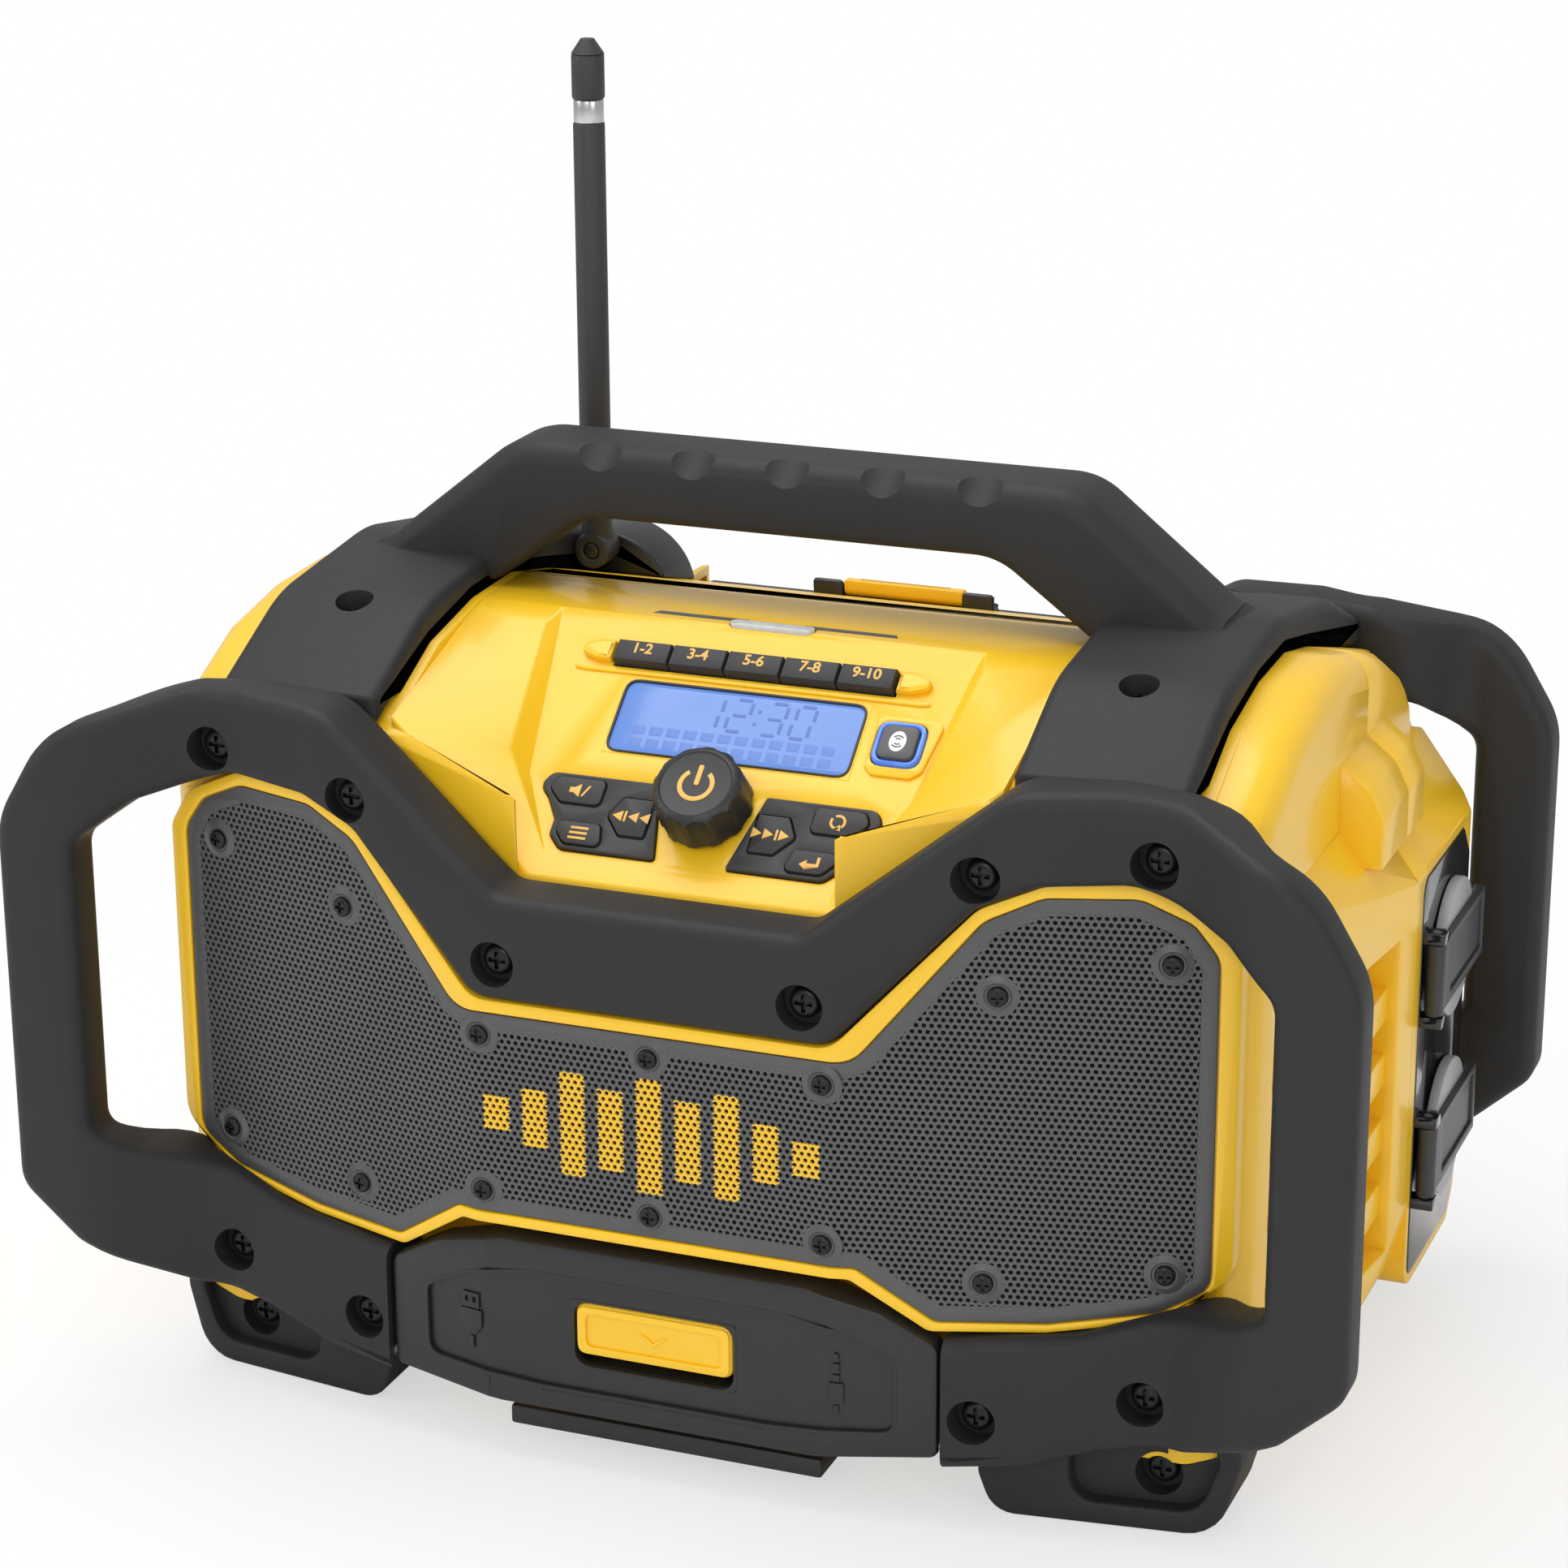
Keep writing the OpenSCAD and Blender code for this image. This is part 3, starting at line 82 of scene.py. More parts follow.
class Signal:
    """What a node gives out, which can be used in sums."""

    def __init__(self, finish, socket):
        self.finish = finish
        self.socket = socket

    def math(self, operation, first, second):
        return self.finish.node("ShaderNodeMath", {"operation": operation}, {0: first, 1: second})

    def __add__(self, other):
        return self.math("ADD", self, other)

    def __mul__(self, other):
        return self.math("MULTIPLY", self, other)

    __radd__ = __add__
    __rmul__ = __mul__


class Finish:
    """The material of one kind of surface."""

    def __init__(self, name, **sockets):
        self.material = bpy.data.materials.new(name)
        self.material.use_nodes = True
        self.tree = self.material.node_tree
        self.shader = self.tree.nodes["Principled BSDF"]
        self.give(self.shader, {key.replace("_", " "): value for key, value in sockets.items()})
        self.place = self.node("ShaderNodeTexCoord", {}, {}, "Object")

    def give(self, node, sockets):
        for key, value in sockets.items():
            if isinstance(value, Signal):
                self.tree.links.new(value.socket, node.inputs[key])
            else:
                node.inputs[key].default_value = value

    def node(self, kind, settings, sockets, output=0):
        made = self.tree.nodes.new(kind)
        for key, value in settings.items():
            setattr(made, key, value)
        self.give(made, sockets)
        return Signal(self, made.outputs[output])

    def axes(self):
        """The three parts of a point of the piece, as signals."""
        split = self.node("ShaderNodeSeparateXYZ", {}, {0: self.place}).socket.node
        return [Signal(self, output) for output in split.outputs]

    def noise(self, size, detail=2.0):
        """Soft spots about size metres across, from 0 to 1."""
        return self.node("ShaderNodeTexNoise", {},
                         {"Vector": self.place, "Scale": 1 / size, "Detail": detail}, "Fac")

    def mix(self, factor, first, second):
        """A colour between two colours."""
        made = self.tree.nodes.new("ShaderNodeMix")
        made.data_type = "RGBA"
        self.give(made, {0: factor, 6: (*first, 1), 7: (*second, 1)})
        return Signal(self, made.outputs[2])

    def vary(self, size, first, second, socket="Base Color", detail=2.0):
        """Gives a socket two colours that mix in soft spots, about size metres across."""
        self.give(self.shader, {socket: self.mix(self.noise(size, detail), first, second)})

    def bump(self, height, depth):
        """Raises the surface by height, which is from 0 to 1, times depth in metres."""
        normal = self.node("ShaderNodeBump", {}, {"Height": height, "Distance": depth,
                                                  "Strength": 1.0})
        self.give(self.shader, {"Normal": normal})


def white_room():
    """A white world for the camera and clear things, and a dimmer one for light and reflections."""
    world = bpy.data.worlds.new("white_room")
    bpy.context.scene.world = world
    world.use_nodes = True
    tree = world.node_tree
    rays = tree.nodes.new("ShaderNodeLightPath").outputs
    seen = tree.nodes.new("ShaderNodeMath")
    seen.operation = "MAXIMUM"
    tree.links.new(rays["Is Camera Ray"], seen.inputs[0])
    tree.links.new(rays["Is Transmission Ray"], seen.inputs[1])
    strength = tree.nodes.new("ShaderNodeMapRange")
    tree.links.new(seen.outputs[0], strength.inputs["Value"])
    strength.inputs["To Min"].default_value = 0.55
    tree.links.new(strength.outputs[0], tree.nodes["Background"].inputs["Strength"])
    tree.nodes["Background"].inputs["Color"].default_value = (1, 1, 1, 1)


white_room()

bpy.ops.mesh.primitive_plane_add(size=30, location=(0, 0, -0.4 * mm))
floor = bpy.context.object
floor.name = "floor"
pale = Finish("pale_floor", Base_Color=(0.9, 0.9, 0.9, 1), Roughness=0.7)
rays = pale.tree.nodes.new("ShaderNodeLightPath").outputs
glow = pale.node("ShaderNodeEmission", {}, {"Color": (1, 1, 1, 1), "Strength": 1.0}).socket
blend = pale.tree.nodes.new("ShaderNodeMixShader")
east, north, _ = pale.axes()
# The floor glows more with distance, so that only the shadow near the radio is seen.
distance = pale.node("ShaderNodeMapRange", {}, {
    "Value": east * east + north * north, "From Min": 0.03, "From Max": 0.25,
    "To Min": 0.6, "To Max": 1.0})
seen = Signal(pale, rays["Is Camera Ray"]) * distance
pale.tree.links.new(seen.socket, blend.inputs[0])
pale.tree.links.new(pale.shader.outputs[0], blend.inputs[1])
pale.tree.links.new(glow, blend.inputs[2])
pale.tree.links.new(blend.outputs[0], pale.tree.nodes["Material Output"].inputs["Surface"])
floor.data.materials.append(pale.material)

# ---- Yellow shells --------------------------------------------------------------------------
# The front shell, rear shell and control panel are moulded in one warm yellow plastic with a
# satin gloss and a faint grain. Their sharp edges have small radii from the mould.


def hold(piece):
    """Selects one piece alone."""
    bpy.ops.object.select_all(action="DESELECT")
    piece.select_set(True)
    bpy.context.view_layer.objects.active = piece


def open_piece(piece):
    """Opens one piece alone for edits, with all of it selected."""
    hold(piece)
    bpy.ops.object.mode_set(mode="EDIT")
    bpy.ops.mesh.select_all(action="SELECT")


def whole_faces(piece, near=0.01):
    """Merges points nearer than near in millimetres, and faces that lie in one plane."""
    open_piece(piece)
    bpy.ops.mesh.remove_doubles(threshold=near * mm)
    bpy.ops.mesh.dissolve_limited(angle_limit=math.radians(0.6))
    bpy.ops.object.mode_set(mode="OBJECT")


def clean_copy(node, name):
    """A copy of a CAD node with its triangles merged into whole faces."""
    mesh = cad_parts[node].data.copy()
    mesh.materials.clear()
    piece = bpy.data.objects.new(name, mesh)
    bpy.context.scene.collection.objects.link(piece)
    open_piece(piece)
    bpy.ops.mesh.customdata_custom_splitnormals_clear()
    bpy.ops.object.mode_set(mode="OBJECT")
    whole_faces(piece, 0.005)
    return piece


def round_edges(piece, radius, steps=2, wanted=None, bend=35):
    """Rounds the outer sharp edges for which wanted(edge) is true, where the faces leave room."""
    hold(piece)
    bpy.ops.object.mode_set(mode="EDIT")
    bpy.ops.mesh.select_mode(type="EDGE")
    bpy.ops.mesh.select_all(action="DESELECT")
    shape = bmesh.from_edit_mesh(piece.data)
    chosen = {edge for edge in shape.edges
              if len(edge.link_faces) == 2 and edge.calc_face_angle(0) > math.radians(bend)
              and edge.is_convex and (wanted is None or wanted(edge))}
    tight = {edge for edge in chosen for vertex in edge.verts for other in vertex.link_edges
             if other not in chosen and other.calc_length() < 1.15 * radius}
    for edge in chosen - tight:
        edge.select_set(True)
    bmesh.update_edit_mesh(piece.data)
    bpy.ops.mesh.bevel(offset=radius, segments=steps, profile=0.5, clamp_overlap=False,
                       loop_slide=False)
    bpy.ops.object.mode_set(mode="OBJECT")


def dress(piece, finish, body="body", nodes=(), smooth=32):
    """Gives a piece its finish, the body it moves with and the nodes it stands for."""
    hold(piece)
    bpy.ops.object.shade_smooth_by_angle(angle=math.radians(smooth))
    piece.data.materials.append(finish.material)
    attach(piece, body)
    if nodes:
        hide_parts(*nodes)
    return piece


def mould(node, name, radius, finish, body="body", steps=2, wanted=None, bend=35):
    """Makes the finished piece of a CAD node, its edges rounded by a radius in millimetres."""
    piece = clean_copy(node, name)
    round_edges(piece, radius * mm, steps, wanted, bend)
    return dress(piece, finish, body, [node])


yellow = Finish("yellow_plastic", Coat_Weight=0.3, Coat_Roughness=0.12)
yellow.vary(0.05, (0.9, 0.53, 0.012), (0.95, 0.58, 0.016))
yellow.give(yellow.shader, {"Roughness": 0.32 + 0.08 * yellow.noise(0.012)})
yellow.bump(yellow.noise(0.0006, 3.0), 0.00004)

for node in ("front_shell", "rear_shell", "control_panel"):
    mould(node, node + "_moulding", 0.8, yellow)

# ---- Speaker grille -------------------------------------------------------------------------
# One steel sheet with staggered round holes, bent back at both wings and powder coated in dark
# grey. Painted shade, a near-black sheet, lies behind it, and a plain rim goes round it.
grille_half = [(70, 88.5, 4), (95, 71.5, 6), (130, 73, 10), (164, 79, 10), (180, 88, 9),
               (180, 199, 10), (172, 210, 10), (156, 217.5, 12), (127, 216.5, 12), (109, 208, 14),
               (69, 158.5, 12)]
grille_face = 9
grille_flat = 62
grille_turn = math.radians(13.2)
grille_screw_half = [(166, 197), (113.5, 184), (166, 92.5), (59.6, 151), (59.6, 96), (110, 86)]
grille_screws = [(side * x, z) for side in (-1, 1) for x, z in grille_screw_half]
grille_screws += [(0, 151), (0, 96)]


def mirrored(half):
    """A whole outline from its right half."""
    return list(half) + [(-x, y, r) for x, y, r in reversed(half)]


def rounded(points, steps=4):
    """The points of an outline whose corners (x, y, radius) are round."""
    path = []
    for before, here, after in zip(points[-1:] + points[:-1], points, points[1:] + points[:1]):
        corner = Vector(here[:2])
        if not here[2]:
            path.append(corner)
            continue
        back_way = Vector(before[:2]) - corner
        forth = Vector(after[:2]) - corner
        cut = min(here[2] / math.tan(back_way.angle(forth) / 2),
                  0.49 * min(back_way.length, forth.length))
        start = corner + back_way.normalized() * cut
        end = corner + forth.normalized() * cut
        shares = [step / steps for step in range(steps + 1)]
        path += [start.lerp(corner, share).lerp(corner.lerp(end, share), share) for share in shares]
    return path


def inset(path, gap):
    """A closed path, anticlockwise, moved inwards."""
    moved = []
    for before, here, after in zip(path[-1:] + path[:-1], path, path[1:] + path[:1]):
        along = (Vector(after) - Vector(before)).normalized()
        moved.append(Vector(here) + gap * Vector((-along.y, along.x)))
    return moved


def raised(over):
    """A shift along the third axis, in millimetres."""
    return Matrix.Translation((0, 0, over * mm))


def flat_piece(name, outlines, height, soft, place=Matrix(), detail=1):
    """A thin plate cut to outlines in millimetres, with soft edges, raised on a place."""
    curve = bpy.data.curves.new(name, "CURVE")
    curve.dimensions = "2D"
    curve.fill_mode = "BOTH"
    curve.extrude = (height / 2 - soft) * mm
    curve.bevel_depth = soft * mm
    curve.bevel_resolution = detail
    curve.offset = -soft * mm
    for outline in outlines:
        spline = curve.splines.new("POLY")
        spline.points.add(len(outline) - 1)
        spline.use_cyclic_u = True
        for point, corner in zip(spline.points, outline):
            point.co = (corner[0] * mm, corner[1] * mm, 0, 1)
    piece = bpy.data.objects.new(name, curve)
    bpy.context.scene.collection.objects.link(piece)
    hold(piece)
    bpy.ops.object.convert(target="MESH")
    open_piece(piece)
    bpy.ops.mesh.remove_doubles(threshold=0.003 * mm)
    bpy.ops.mesh.normals_make_consistent(inside=False)
    bpy.ops.object.mode_set(mode="OBJECT")
    piece.data.transform(place @ raised(height / 2))
    return piece


def unrolled(x):
    """The distance along the sheet to a place across the radio."""
    past = max(0, abs(x) - grille_flat)
    return math.copysign(min(abs(x), grille_flat) + past / math.cos(grille_turn), x)


def split(piece, places):
    """Cuts long faces in two at places across, so that they can turn or stay flat there."""
    for place in places:
        open_piece(piece)
        bpy.ops.mesh.bisect(plane_co=(place * mm, 0, 0), plane_no=(1, 0, 0))
        bpy.ops.object.mode_set(mode="OBJECT")


def bend_sheet(piece, flat=grille_flat, wing=grille_turn, face=grille_face):
    """Bends a flat sheet, face up, back at both wings, into its place on the front."""
    split(piece, (-flat, flat))
    for vertex in piece.data.vertices:
        along, high, over = vertex.co / mm
        past = max(0, abs(along) - flat)
        side = math.copysign(1, along)
        turn = wing if past > 1e-6 else 0
        x = side * (min(abs(along), flat) + past * math.cos(wing) + over * math.sin(turn))
        depth = face + past * math.sin(wing) - over * math.cos(turn)
        vertex.co = (x * mm, front_y + depth * mm, high * mm)


grille_edge = [Vector((unrolled(x), z)) for x, z in rounded(mirrored(grille_half))]
pitch = 2.45
row = pitch * math.sqrt(3) / 2
columns = math.ceil(2 * unrolled(180) / pitch) + 1
rows = 36
first_row = 69
hole_edge = 0.5
sheet = 0.9
bpy.ops.object.select_all(action="DESELECT")
bpy.ops.mesh.primitive_circle_add(vertices=6, radius=pitch / math.sqrt(3) * mm,
                                  fill_type="NGON", location=(0, 0, 0))
cells = bpy.context.object
bpy.ops.object.mode_set(mode="EDIT")
bpy.ops.mesh.select_all(action="SELECT")
bpy.ops.mesh.inset(thickness=hole_edge * mm, depth=0)
bpy.ops.mesh.extrude_region_move(TRANSFORM_OT_translate={"value": (0, 0, -sheet * mm)})
bpy.ops.mesh.delete(type="FACE")
bpy.ops.mesh.select_all(action="SELECT")
bpy.ops.mesh.duplicate_move(TRANSFORM_OT_translate={"value": (pitch / 2 * mm, row * mm, 0)})
bpy.ops.object.mode_set(mode="OBJECT")
for name, count, step in (("columns", columns, (pitch * mm, 0, 0)),
                          ("rows", rows, (0, 2 * row * mm, 0))):
    many = cells.modifiers.new(name, "ARRAY")
    many.count = count
    many.use_relative_offset = False
    many.use_constant_offset = True
    many.constant_offset_displace = step
    hold(cells)
    bpy.ops.object.modifier_apply(modifier=name)
cells.data.transform(Matrix.Translation((-(columns // 2) * pitch * mm, first_row * mm, 0)))
points = np.empty(len(cells.data.vertices) * 3)
cells.data.vertices.foreach_get("co", points)
centres = points.reshape(columns * rows * 2, -1, 3).mean(axis=1) / mm
inner = inset(grille_edge, 4.4)
inside = np.zeros(len(centres), bool)
for (x1, y1), (x2, y2) in zip(inner, inner[1:] + inner[:1]):
    spans = (y1 > centres[:, 1]) != (y2 > centres[:, 1])
    crossing = (x2 - x1) * (centres[:, 1] - y1) / (y2 - y1 + 1e-12) + x1
    inside ^= spans & (centres[:, 0] < crossing)
for x, z in grille_screws:
    inside &= np.hypot(centres[:, 0] - unrolled(x), centres[:, 1] - z) > 6
per_cell = len(cells.data.vertices) // len(centres)

steel = Finish("dark_grille_steel", Metallic=0.35, Specular_IOR_Level=0.6)
steel.vary(0.03, (0.085, 0.085, 0.087), (0.105, 0.105, 0.107))
steel.give(steel.shader, {"Roughness": 0.36 + 0.12 * steel.noise(0.0009, 3.0)})
# Plain yellow bars of five heights are printed on the middle of the sheet.
paint = Finish("grille_print", Base_Color=(0.82, 0.5, 0.03, 1), Roughness=0.45)
bar_step = 13.5
bar_share = 0.64
bar_middle = 124
bar_heights = np.array([40, 28, 36, 20, 12])
for name, low, high in (("left", -999, -grille_flat), ("middle", -grille_flat, grille_flat),
                        ("right", grille_flat, 999)):
    panel = cells.copy()
    panel.data = cells.data.copy()
    panel.name = "grille_holes_" + name
    bpy.context.scene.collection.objects.link(panel)
    kept = inside & (centres[:, 0] > low) & (centres[:, 0] <= high)
    panel.data.vertices.foreach_set("select", np.repeat(~kept, per_cell))
    panel.data.edges.foreach_set("select", [False] * len(panel.data.edges))
    panel.data.polygons.foreach_set("select", [False] * len(panel.data.polygons))
    hold(panel)
    bpy.ops.object.mode_set(mode="EDIT")
    bpy.ops.mesh.select_mode(type="VERT")
    bpy.ops.mesh.delete(type="VERT")
    bpy.ops.mesh.select_all(action="SELECT")
    bpy.ops.mesh.remove_doubles(threshold=0.02 * mm)
    bpy.ops.object.mode_set(mode="OBJECT")
    middles = np.empty(len(panel.data.polygons) * 3)
    panel.data.polygons.foreach_get("center", middles)
    flat = middles.reshape(-1, 3) / mm
    nearest = np.clip(np.round(flat[:, 0] / bar_step), -4, 4).astype(int)
    painted = ((np.abs(flat[:, 0] - nearest * bar_step) < bar_step * bar_share / 2)
               & (np.abs(flat[:, 1] - bar_middle) < bar_heights[np.abs(nearest)] / 2))
    bend_sheet(panel)
    dress(panel, steel, smooth=20)
    panel.data.materials.append(paint.material)
    for face, is_painted in zip(panel.data.polygons, painted):
        face.material_index = int(is_painted)
bpy.data.objects.remove(cells)

rim = flat_piece("grille_rim", [grille_edge, inset(grille_edge, 5.6)], 1.14, 0.4,
                 raised(-1.2))
bend_sheet(rim)
dress(rim, steel, nodes=["speaker_grille"])
# A near-black sheet just behind the grille is painted shade. It darkens the holes in place of the
# shadow inside the body.
hole_shade = Finish("painted_hole_shade", Base_Color=(0.004, 0.004, 0.004, 1), Roughness=0.95)
shade_sheet = flat_piece("grille_painted_shade", [inset(grille_edge, 2)], 0.2, 0.05, raised(-1.15))
bend_sheet(shade_sheet)
dress(shade_sheet, hole_shade)

# ---- Screws ---------------------------------------------------------------------------------
# Black pan-head cross screws hold the grille, the cage, the saddles and the feet. The grille is
# dished out round each of its screws.
facing_front = Matrix.Rotation(math.radians(90), 4, "X")


def at(x, depth, z):
    """The place x across, depth behind the front and z up, in millimetres."""
    return Matrix.Translation((x * mm, front_y + depth * mm, z * mm))


def on_grille(x, z, over=0.0):
    """The place on the grille's face at x and z, with its third axis pointing out of it."""
    past = max(0, abs(x) - grille_flat)
    turn = math.copysign(grille_turn if past else 0, x)
    depth = grille_face + past * math.tan(grille_turn)
    return at(x, depth, z) @ Matrix.Rotation(turn, 4, "Z") @ facing_front @ raised(over)


def copies(master, name, places):
    """One object with a copy of the master at every place."""
    made = []
    for place in places:
        mesh = master.data.copy()
        mesh.transform(place)
        made.append(bpy.data.objects.new(name, mesh))
        bpy.context.scene.collection.objects.link(made[-1])
    bpy.data.objects.remove(master)
    hold(made[0])
    for one in made:
        one.select_set(True)
    if len(made) > 1:
        bpy.ops.object.join()
    bpy.context.object.name = name
    return bpy.context.object


def bevelled_disc(name, radius, height, soft, top=None):
    """A round piece on the floor of its place, with a rounded upper edge."""
    bpy.ops.object.select_all(action="DESELECT")
    bpy.ops.mesh.primitive_cone_add(vertices=32, radius1=radius * mm,
                                    radius2=(radius if top is None else top) * mm,
                                    depth=height * mm, location=(0, 0, height / 2 * mm))
    bpy.ops.object.transform_apply(location=True)
    disc = bpy.context.object
    disc.name = name
    round_edges(disc, soft * mm, 3,
                lambda edge: min(v.co.z for v in edge.verts) > (height - 0.01) * mm)
    return disc


def cut(piece, tool, operation="DIFFERENCE"):
    """Cuts the tool's shape out of a piece, or joins or intersects the two."""
    hold(piece)
    knife = piece.modifiers.new("cut", "BOOLEAN")
    knife.object = tool
    knife.operation = operation
    knife.solver = "MANIFOLD"
    bpy.ops.object.modifier_apply(modifier="cut")
    bpy.data.objects.remove(tool)
    piece.data.materials.clear()


def screw_head(radius, height):
    """A pan head with a cross recess."""
    head = bevelled_disc("head", radius, height, 0.42 * height + 0.4)
    arm, half = 0.58 * radius, 0.15 * radius
    cross = [(arm, -half), (arm, half), (half, half), (half, arm), (-half, arm), (-half, half),
             (-arm, half), (-arm, -half), (-half, -half), (-half, -arm), (half, -arm), (half, -half)]
    cut(head, flat_piece("cross", [cross], height, 0.02, raised(0.45 * height)))
    return head


def inset_top(piece, steps):
    """Insets the top faces of a piece by each thickness and depth, in millimetres."""
    hold(piece)
    bpy.ops.object.mode_set(mode="EDIT")
    bpy.ops.mesh.select_mode(type="FACE")
    bpy.ops.mesh.select_all(action="DESELECT")
    shape = bmesh.from_edit_mesh(piece.data)
    for face in shape.faces:
        face.select_set(face.normal.z > 0.99)
    bmesh.update_edit_mesh(piece.data)
    for thickness, depth in steps:
        bpy.ops.mesh.inset(thickness=thickness * mm, depth=depth * mm)
    bpy.ops.object.mode_set(mode="OBJECT")


screw_black = Finish("blackened_screw", Base_Color=(0.016, 0.016, 0.017, 1), Metallic=0.5,
                     Roughness=0.3)
heads = copies(screw_head(3.4, 1.9), "grille_screw_heads",
               [on_grille(x, z, 0.1) for x, z in grille_screws])
dress(heads, screw_black, nodes=["grille_screws"])

dish = bevelled_disc("dish", 6.9, 0.8, 0.3, 4.6)
inset_top(dish, [(0.5, -0.35)])
dishes = copies(dish, "grille_dishes", [on_grille(x, z, -0.1) for x, z in grille_screws])
dress(dishes, steel)


def islands(node):
    """The low and high corner of every separate solid of a CAD node."""
    piece = clean_copy(node, "islands")
    hold(piece)
    bpy.ops.mesh.separate(type="LOOSE")
    boxes = []
    for part in list(bpy.context.selected_objects):
        places = [vertex.co for vertex in part.data.vertices]
        boxes.append((Vector(map(min, zip(*places))), Vector(map(max, zip(*places)))))
        bpy.data.objects.remove(part)
    return boxes


guard_head = 3.8
guard_screw_places = []
for low, high in islands("guard_screws"):
    middle = (low + high) / 2
    if high.z - low.z > high.y - low.y:
        turn = Matrix()
        middle.z = high.z - guard_head * mm
    elif middle.y < 0:
        turn = facing_front
        middle.y = low.y + guard_head * mm
    else:
        turn = facing_front.inverted()
        middle.y = high.y - guard_head * mm
    guard_screw_places.append(Matrix.Translation(middle) @ turn)
heads = copies(screw_head(5.25, 3.7), "cage_screw_heads", guard_screw_places)
dress(heads, screw_black, nodes=["guard_screws"])

# ---- Rubber cage, handle and feet -----------------------------------------------------------
# The roll cage, carry handle and feet are dark charcoal rubber over a hard core. The rubber has a
# fine leathery grain, and every bar is well rounded.
rubber = Finish("charcoal_rubber", Specular_IOR_Level=0.35)
grain = rubber.noise(0.0011, 4.0)
rubber.vary(0.02, (0.017, 0.017, 0.018), (0.022, 0.022, 0.023))
rubber.give(rubber.shader, {"Roughness": 0.5 + 0.14 * grain})
rubber.bump(grain, 0.0001)


def away_from_wells(edge):
    """True for an edge that isn't on the rim of a screw's well."""
    centre = (edge.verts[0].co + edge.verts[1].co) / 2
    offsets = [centre - place.translation for place in guard_screw_places]
    return all(math.hypot(offset.x, offset.z) > 9.5 * mm for offset in offsets)


def on_face(x, depth, z):
    """The place on a face that looks forwards, with its third axis pointing forwards."""
    return at(x, depth, z) @ facing_front


def on_side(x):
    """The place of an outline in depth and height, with its third axis pointing across."""
    axes = Matrix(((0, 0, 1), (1, 0, 0), (0, 1, 0)))
    return at(x, 0, 0) @ axes.to_4x4()


def block(name, outline, length, place, steps=8):
    """A prism on a rounded outline, with whole faces."""
    piece = flat_piece(name, [rounded(outline, steps)], length, 0, place)
    whole_faces(piece)
    return piece


def drill(name, radius, length, places):
    """Round rods at some places, to cut holes with."""
    bpy.ops.object.select_all(action="DESELECT")
    bpy.ops.mesh.primitive_cylinder_add(vertices=48, radius=radius * mm, depth=length * mm,
                                        location=(0, 0, length / 2 * mm))
    bpy.ops.object.transform_apply(location=True)
    return copies(bpy.context.object, name, places)


# Depths of the front and the back of the cage at distances from the middle.
cage_front = [(0, 6), (57, 6), (104, 13.5), (168, 24.5), (202.5, 1.5), (240, 0)]
cage_back = [(0, 31.5), (57, 31.5), (110, 42), (187, 42), (200, 21), (240, 21)]


def depth_at(line, x):
    """The depth of a line of the cage at x, with soft turns."""
    places, depths = zip(*line)
    return np.mean([np.interp(abs(x + near), places, depths) for near in (-6, -4, -2, 0, 2, 4, 6)])


loop_outer = [(124, 23.5, 25), (148, 31.5, 25), (176, 37, 20), (212, 55, 12), (233, 74, 14),
              (233, 206, 32), (214, 238, 36), (172, 251.5, 16), (150, 253.5, 20)]
front_inner = [(62, 164, 12), (107, 213, 14), (127, 221.5, 12), (155, 224, 20), (188, 213.5, 12),
               (205.5, 200, 9), (205.5, 96, 7), (192, 89, 10), (170, 81.5, 12), (140, 71, 14),
               (120, 69, 12), (90, 65, 2)]
rear_inner = [(118, 251.5, 14), (99, 240, 7), (99, 214, 7), (127, 226.5, 12), (160, 226.5, 20),
              (188, 216, 12), (205.5, 200, 9), (205.5, 96, 7), (178, 88, 10), (152, 79.5, 15),
              (120, 77.5, 12), (98.5, 66, 6)]
guard_outlines = {
    "front_guard": front_inner + [(90, 19.5, 3)] + loop_outer + [(118, 251.5, 22), (52, 199.5, 10)],
    "rear_guard": loop_outer + rear_inner}
speaker_half = [(68, 84, 4), (93, 67.5, 6), (130, 69.5, 10), (166, 76, 10), (187, 92, 12),
                (187, 199, 9), (179, 212, 10), (155, 223.7, 20), (127, 221.2, 12),
                (107, 212.7, 14), (62, 163.7, 12)]
# The space for the speakers is as deep as the grille, with a little room.
space_depth = 8.2
space_back = space_depth + (191 - grille_flat) * math.tan(grille_turn)
swept = [(grille_flat, space_depth, 0), (191, space_back, 0), (191, 65, 0)]
door_gap = [(98.5, 0, 0), (98.5, 75, 0)]
bar_height = 30
guard_turns = [side * (place + near) for place in (57, 104, 168, 187, 202)
               for near in (-6, -2, 2, 6) for side in (-1, 1)]
for node, half_outline in guard_outlines.items():
    bar = flat_piece(node + "_rubber", [rounded(mirrored(half_outline), 8)], bar_height, 5,
                     Matrix(), 3)
    whole_faces(bar)
    split(bar, guard_turns)
    for vertex in bar.data.vertices:
        x, z, over = vertex.co / mm
        if over > bar_height / 2:
            depth = depth_at(cage_front, x) + bar_height - over
        else:
            depth = depth_at(cage_back, x) - over
        vertex.co = (x * mm, front_y + depth * mm, z * mm)
    if node == "rear_guard":
        bar.data.transform(Matrix.Rotation(math.pi, 4, "Z"))
    else:
        cut(bar, block("ends", mirrored(door_gap), 62, on_face(0, 60, 0)))
        space = block("space", mirrored(speaker_half), 60, on_face(0, 60, 0))
        cut(space, block("swept", mirrored(swept), 330, at(0, 0, -5)), "INTERSECT")
        cut(bar, space)
    side = 1 if node == "rear_guard" else -1
    wells = [place for place in guard_screw_places
             if place.translation.y * side > 0 and place.translation.z > 30 * mm
             and abs(place.col[2].y) > 0.5]
    cut(bar, drill("wells", 7.75, 40, wells))
    dress(bar, rubber, nodes=[node])

